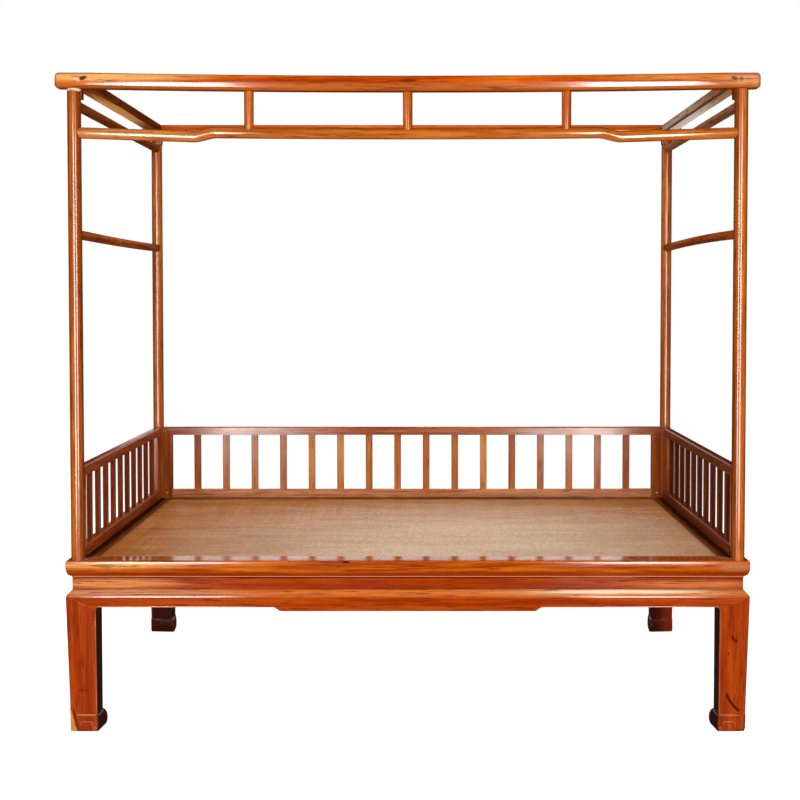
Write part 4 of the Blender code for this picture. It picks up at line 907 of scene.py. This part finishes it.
# Painted reflection: the right side rail is the same wood given paler, greyer tones, a pale patch on its inner
# face and pale undersides, standing in for light mirrored in it; a darker line runs along its lower inner
# edge.
canopy_painted_sheen_wood = polished_wood(
    "canopy_wood_painted_sheen",
    1,
    paint(70, 30, 8),
    paint(110, 58, 22),
    paint(142, 84, 40),
    paint(168, 112, 66),
    rough=(0.35, 0.5),
    patches=[((0.9755, 0.45, 1.955), (0.012, 0.75, 0.032), 0.0, paint(196, 172, 152), 0.90)],
    marks=[
        ((0.998, 0.45, 1.9460), (0.060, 0.75, 0.0045), 0.0, (0.70, 0.61, 0.55, 1), 0.95),
        ((0.977, 0.0, 1.9495), (0.0055, 2.0, 0.0055), 0.0, paint(104, 52, 30), 0.90),
    ],
    painted_underside_light=paint(220, 166, 120),
    bare=1.012,
    **OUTER_POLISH,
)
dress(["canopy_rail_right"], canopy_painted_sheen_wood, 0.0003)

# Stretchers, struts and side bars
# The round front stretcher steps up to a long hump under the three short struts; plain round
# stretchers and lower bars run between the posts at the sides.
stretcher_wood = polished_wood(
    "stretcher_wood_long",
    0,
    paint(108, 42, 6),
    paint(156, 72, 12),
    paint(186, 94, 20),
    paint(206, 124, 44),
    # Painted highlight: a paler patch at the left end of the stretcher.
    patches=[((-0.820, -0.65, 1.83), (0.240, 0.1, 0.1), 0.0, paint(226, 156, 88), 0.48)],
    painted_edge_shade=0.60,
    **RAIL_POLISH,
)
dress(["canopy_hump_stretcher"], stretcher_wood)
strut_wood = polished_wood(
    "strut_wood_upright",
    2,
    paint(112, 42, 10),
    paint(166, 74, 18),
    paint(200, 102, 30),
    paint(220, 132, 54),
    painted_edge_shade=0.80,
    **RAIL_POLISH,
)
dress([f"strut_{side}" for side in ("left", "middle", "right")], strut_wood)
bar_wood = polished_wood(
    "bar_wood_short",
    1,
    paint(80, 28, 8),
    paint(122, 50, 16),
    paint(154, 74, 30),
    paint(184, 104, 52),
    rough=(0.22, 0.32),
    specular=0.0,
    coat=0.0,
)
dress(["side_bar_left", "side_bar_right"], bar_wood)
side_stretcher_wood = polished_wood(
    "side_stretcher_wood",
    1,
    paint(84, 30, 6),
    paint(126, 54, 12),
    paint(158, 78, 24),
    paint(184, 108, 46),
    patches=[
        # Painted shade on the left stretcher and painted reflection on the right one: the same wood is made
        # darker on one side and greyer on the other.
        ((-1.0, 0.0, 1.80), (0.20, 2.0, 0.30), 0.0, paint(112, 54, 22), 0.75),
        ((1.0, 0.0, 1.80), (0.20, 2.0, 0.30), 0.0, paint(150, 110, 86), 0.70),
    ],
    bare=1.008,
    **OUTER_POLISH,
)
dress(["canopy_stretcher_left", "canopy_stretcher_right"], side_stretcher_wood)

# Railings
# Three low railings of upright flat slats between two rails and end stiles, pegged to the posts.
# Each slat is tenoned into both rails.
RAIL_TOP = 0.554
top_rail_wood = polished_wood(
    "rail_wood_long",
    0,
    paint(96, 38, 12),
    paint(138, 60, 24),
    paint(166, 80, 36),
    paint(188, 110, 62),
    rough=(0.14, 0.24),
    specular=0.34,
    coat=0.0,
)
dress(["back_railing_top_rail"], top_rail_wood)
COMB_TONES = (paint(112, 48, 14), paint(170, 84, 34), paint(204, 112, 52), paint(226, 146, 84))
SLAT_COUNT, SLAT_WIDTH = 16, 0.027
slat_step = (SLAT_WIDTH - 2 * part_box("back_railing_stile_left")[1][0]) / (SLAT_COUNT + 1)
SLAT_TONES = [
    (paint(134, 56, 24), (0, 11, 15)),
    # Painted reflection: this greyish tone on slats 1 to 3 and 12 to 14 stands in for the tall lights mirrored
    # in them; the other tones are the slats' own colour.
    (paint(160, 106, 74), (1, 2, 3, 12, 13, 14)),
    (paint(208, 144, 74), (4, 5, 10)),
    (paint(172, 102, 54), (6, 7, 8, 9)),
]
slat_patches = [
    ((slat_step * (i - (SLAT_COUNT - 1) / 2), 0.65, 0.72), (0.040, 0.2, 0.16), 0.0, tone, 0.75)
    for tone, slats in SLAT_TONES
    for i in slats
]
comb_wood = polished_wood(
    "comb_wood_long",
    0,
    *COMB_TONES,
    rough=(0.16, 0.26),
    turn_above=RAIL_TOP,
    # Painted sheen: a paler band along the bottom rail.
    patches=[((0.0, 0.65, 0.5390), (2.0, 0.1, 0.0170), 0.0, paint(204, 150, 112), 0.50)] + slat_patches,
    specular=0.10,
    coat=0.0,
)
dress(["back_railing_bottom_rail"], comb_wood)
SIDE_TONES = (paint(88, 26, 4), paint(132, 48, 8), paint(164, 70, 18), paint(190, 100, 42))
# Painted shade: the right railing's rails and slats are darkened.
right_painted_shade = [((1.0, 0.0, 0.64), (0.10, 2.0, 0.40), 0.0, paint(92, 36, 14), 0.75)]
side_rail_wood = polished_wood(
    "rail_wood_short", 1, *SIDE_TONES, rough=(0.24, 0.34), patches=right_painted_shade, specular=0.16, coat=0.0
)
dress(["left_railing_top_rail", "right_railing_top_rail"], side_rail_wood)
side_comb_wood = polished_wood(
    "comb_wood_short",
    1,
    *SIDE_TONES,
    rough=(0.25, 0.35),
    turn_above=RAIL_TOP,
    # Painted shade on the slats' faces turned to the front.
    painted_front_shade=0.85,
    patches=right_painted_shade,
    specular=0.03,
    coat=0.0,
)
dress(["left_railing_bottom_rail"], side_comb_wood, fuller=0.0013)
dress(["right_railing_bottom_rail"], side_comb_wood, fuller=0.0020)
stile_wood = polished_wood(
    "stile_wood_upright", 2, paint(92, 34, 8), paint(134, 54, 12), paint(160, 72, 22), paint(182, 100, 46)
)
dress(["back_railing_stile_left", "back_railing_stile_right"], stile_wood)
dress([f"{side}_railing_stile_{end}" for side in ("left", "right") for end in ("front", "back")], stile_wood)

# Railing pins
# A small round pin holds each end of the back railing to its post; its domed head stands proud of the
# stile.
# The pins are pale wood; their near-white tones also stand in for the glint on their heads, a painted
# highlight.
pin_wood = polished_wood(
    "pin_wood", 1, paint(190, 120, 80), paint(224, 160, 116), paint(244, 190, 150), paint(255, 222, 196)
)
PIN_LEVEL, PIN_SUNK, PIN_RADIUS, PIN_LENGTH, PIN_ROUND = 0.540, 0.002, 0.0034, 0.0034, 0.0013
for side in ("left", "right"):
    low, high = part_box(f"back_railing_stile_{side}")
    pin = bmesh.new()
    middle = ((low[0] + high[0]) / 2, low[1] + PIN_SUNK, PIN_LEVEL)
    head = Matrix.Translation(middle) @ Matrix.Rotation(math.pi / 2, 4, "X")
    bmesh.ops.create_circle(pin, segments=16, radius=PIN_RADIUS, matrix=head, cap_ends=True)
    rim = raise_faces(pin, (0, -PIN_LENGTH, 0))
    bmesh.ops.bevel(pin, geom=rim, offset=PIN_ROUND, segments=3, profile=0.5, affect="EDGES", material=-1)
    add_ornament(f"railing_pin_{side}", pin, pin_wood)
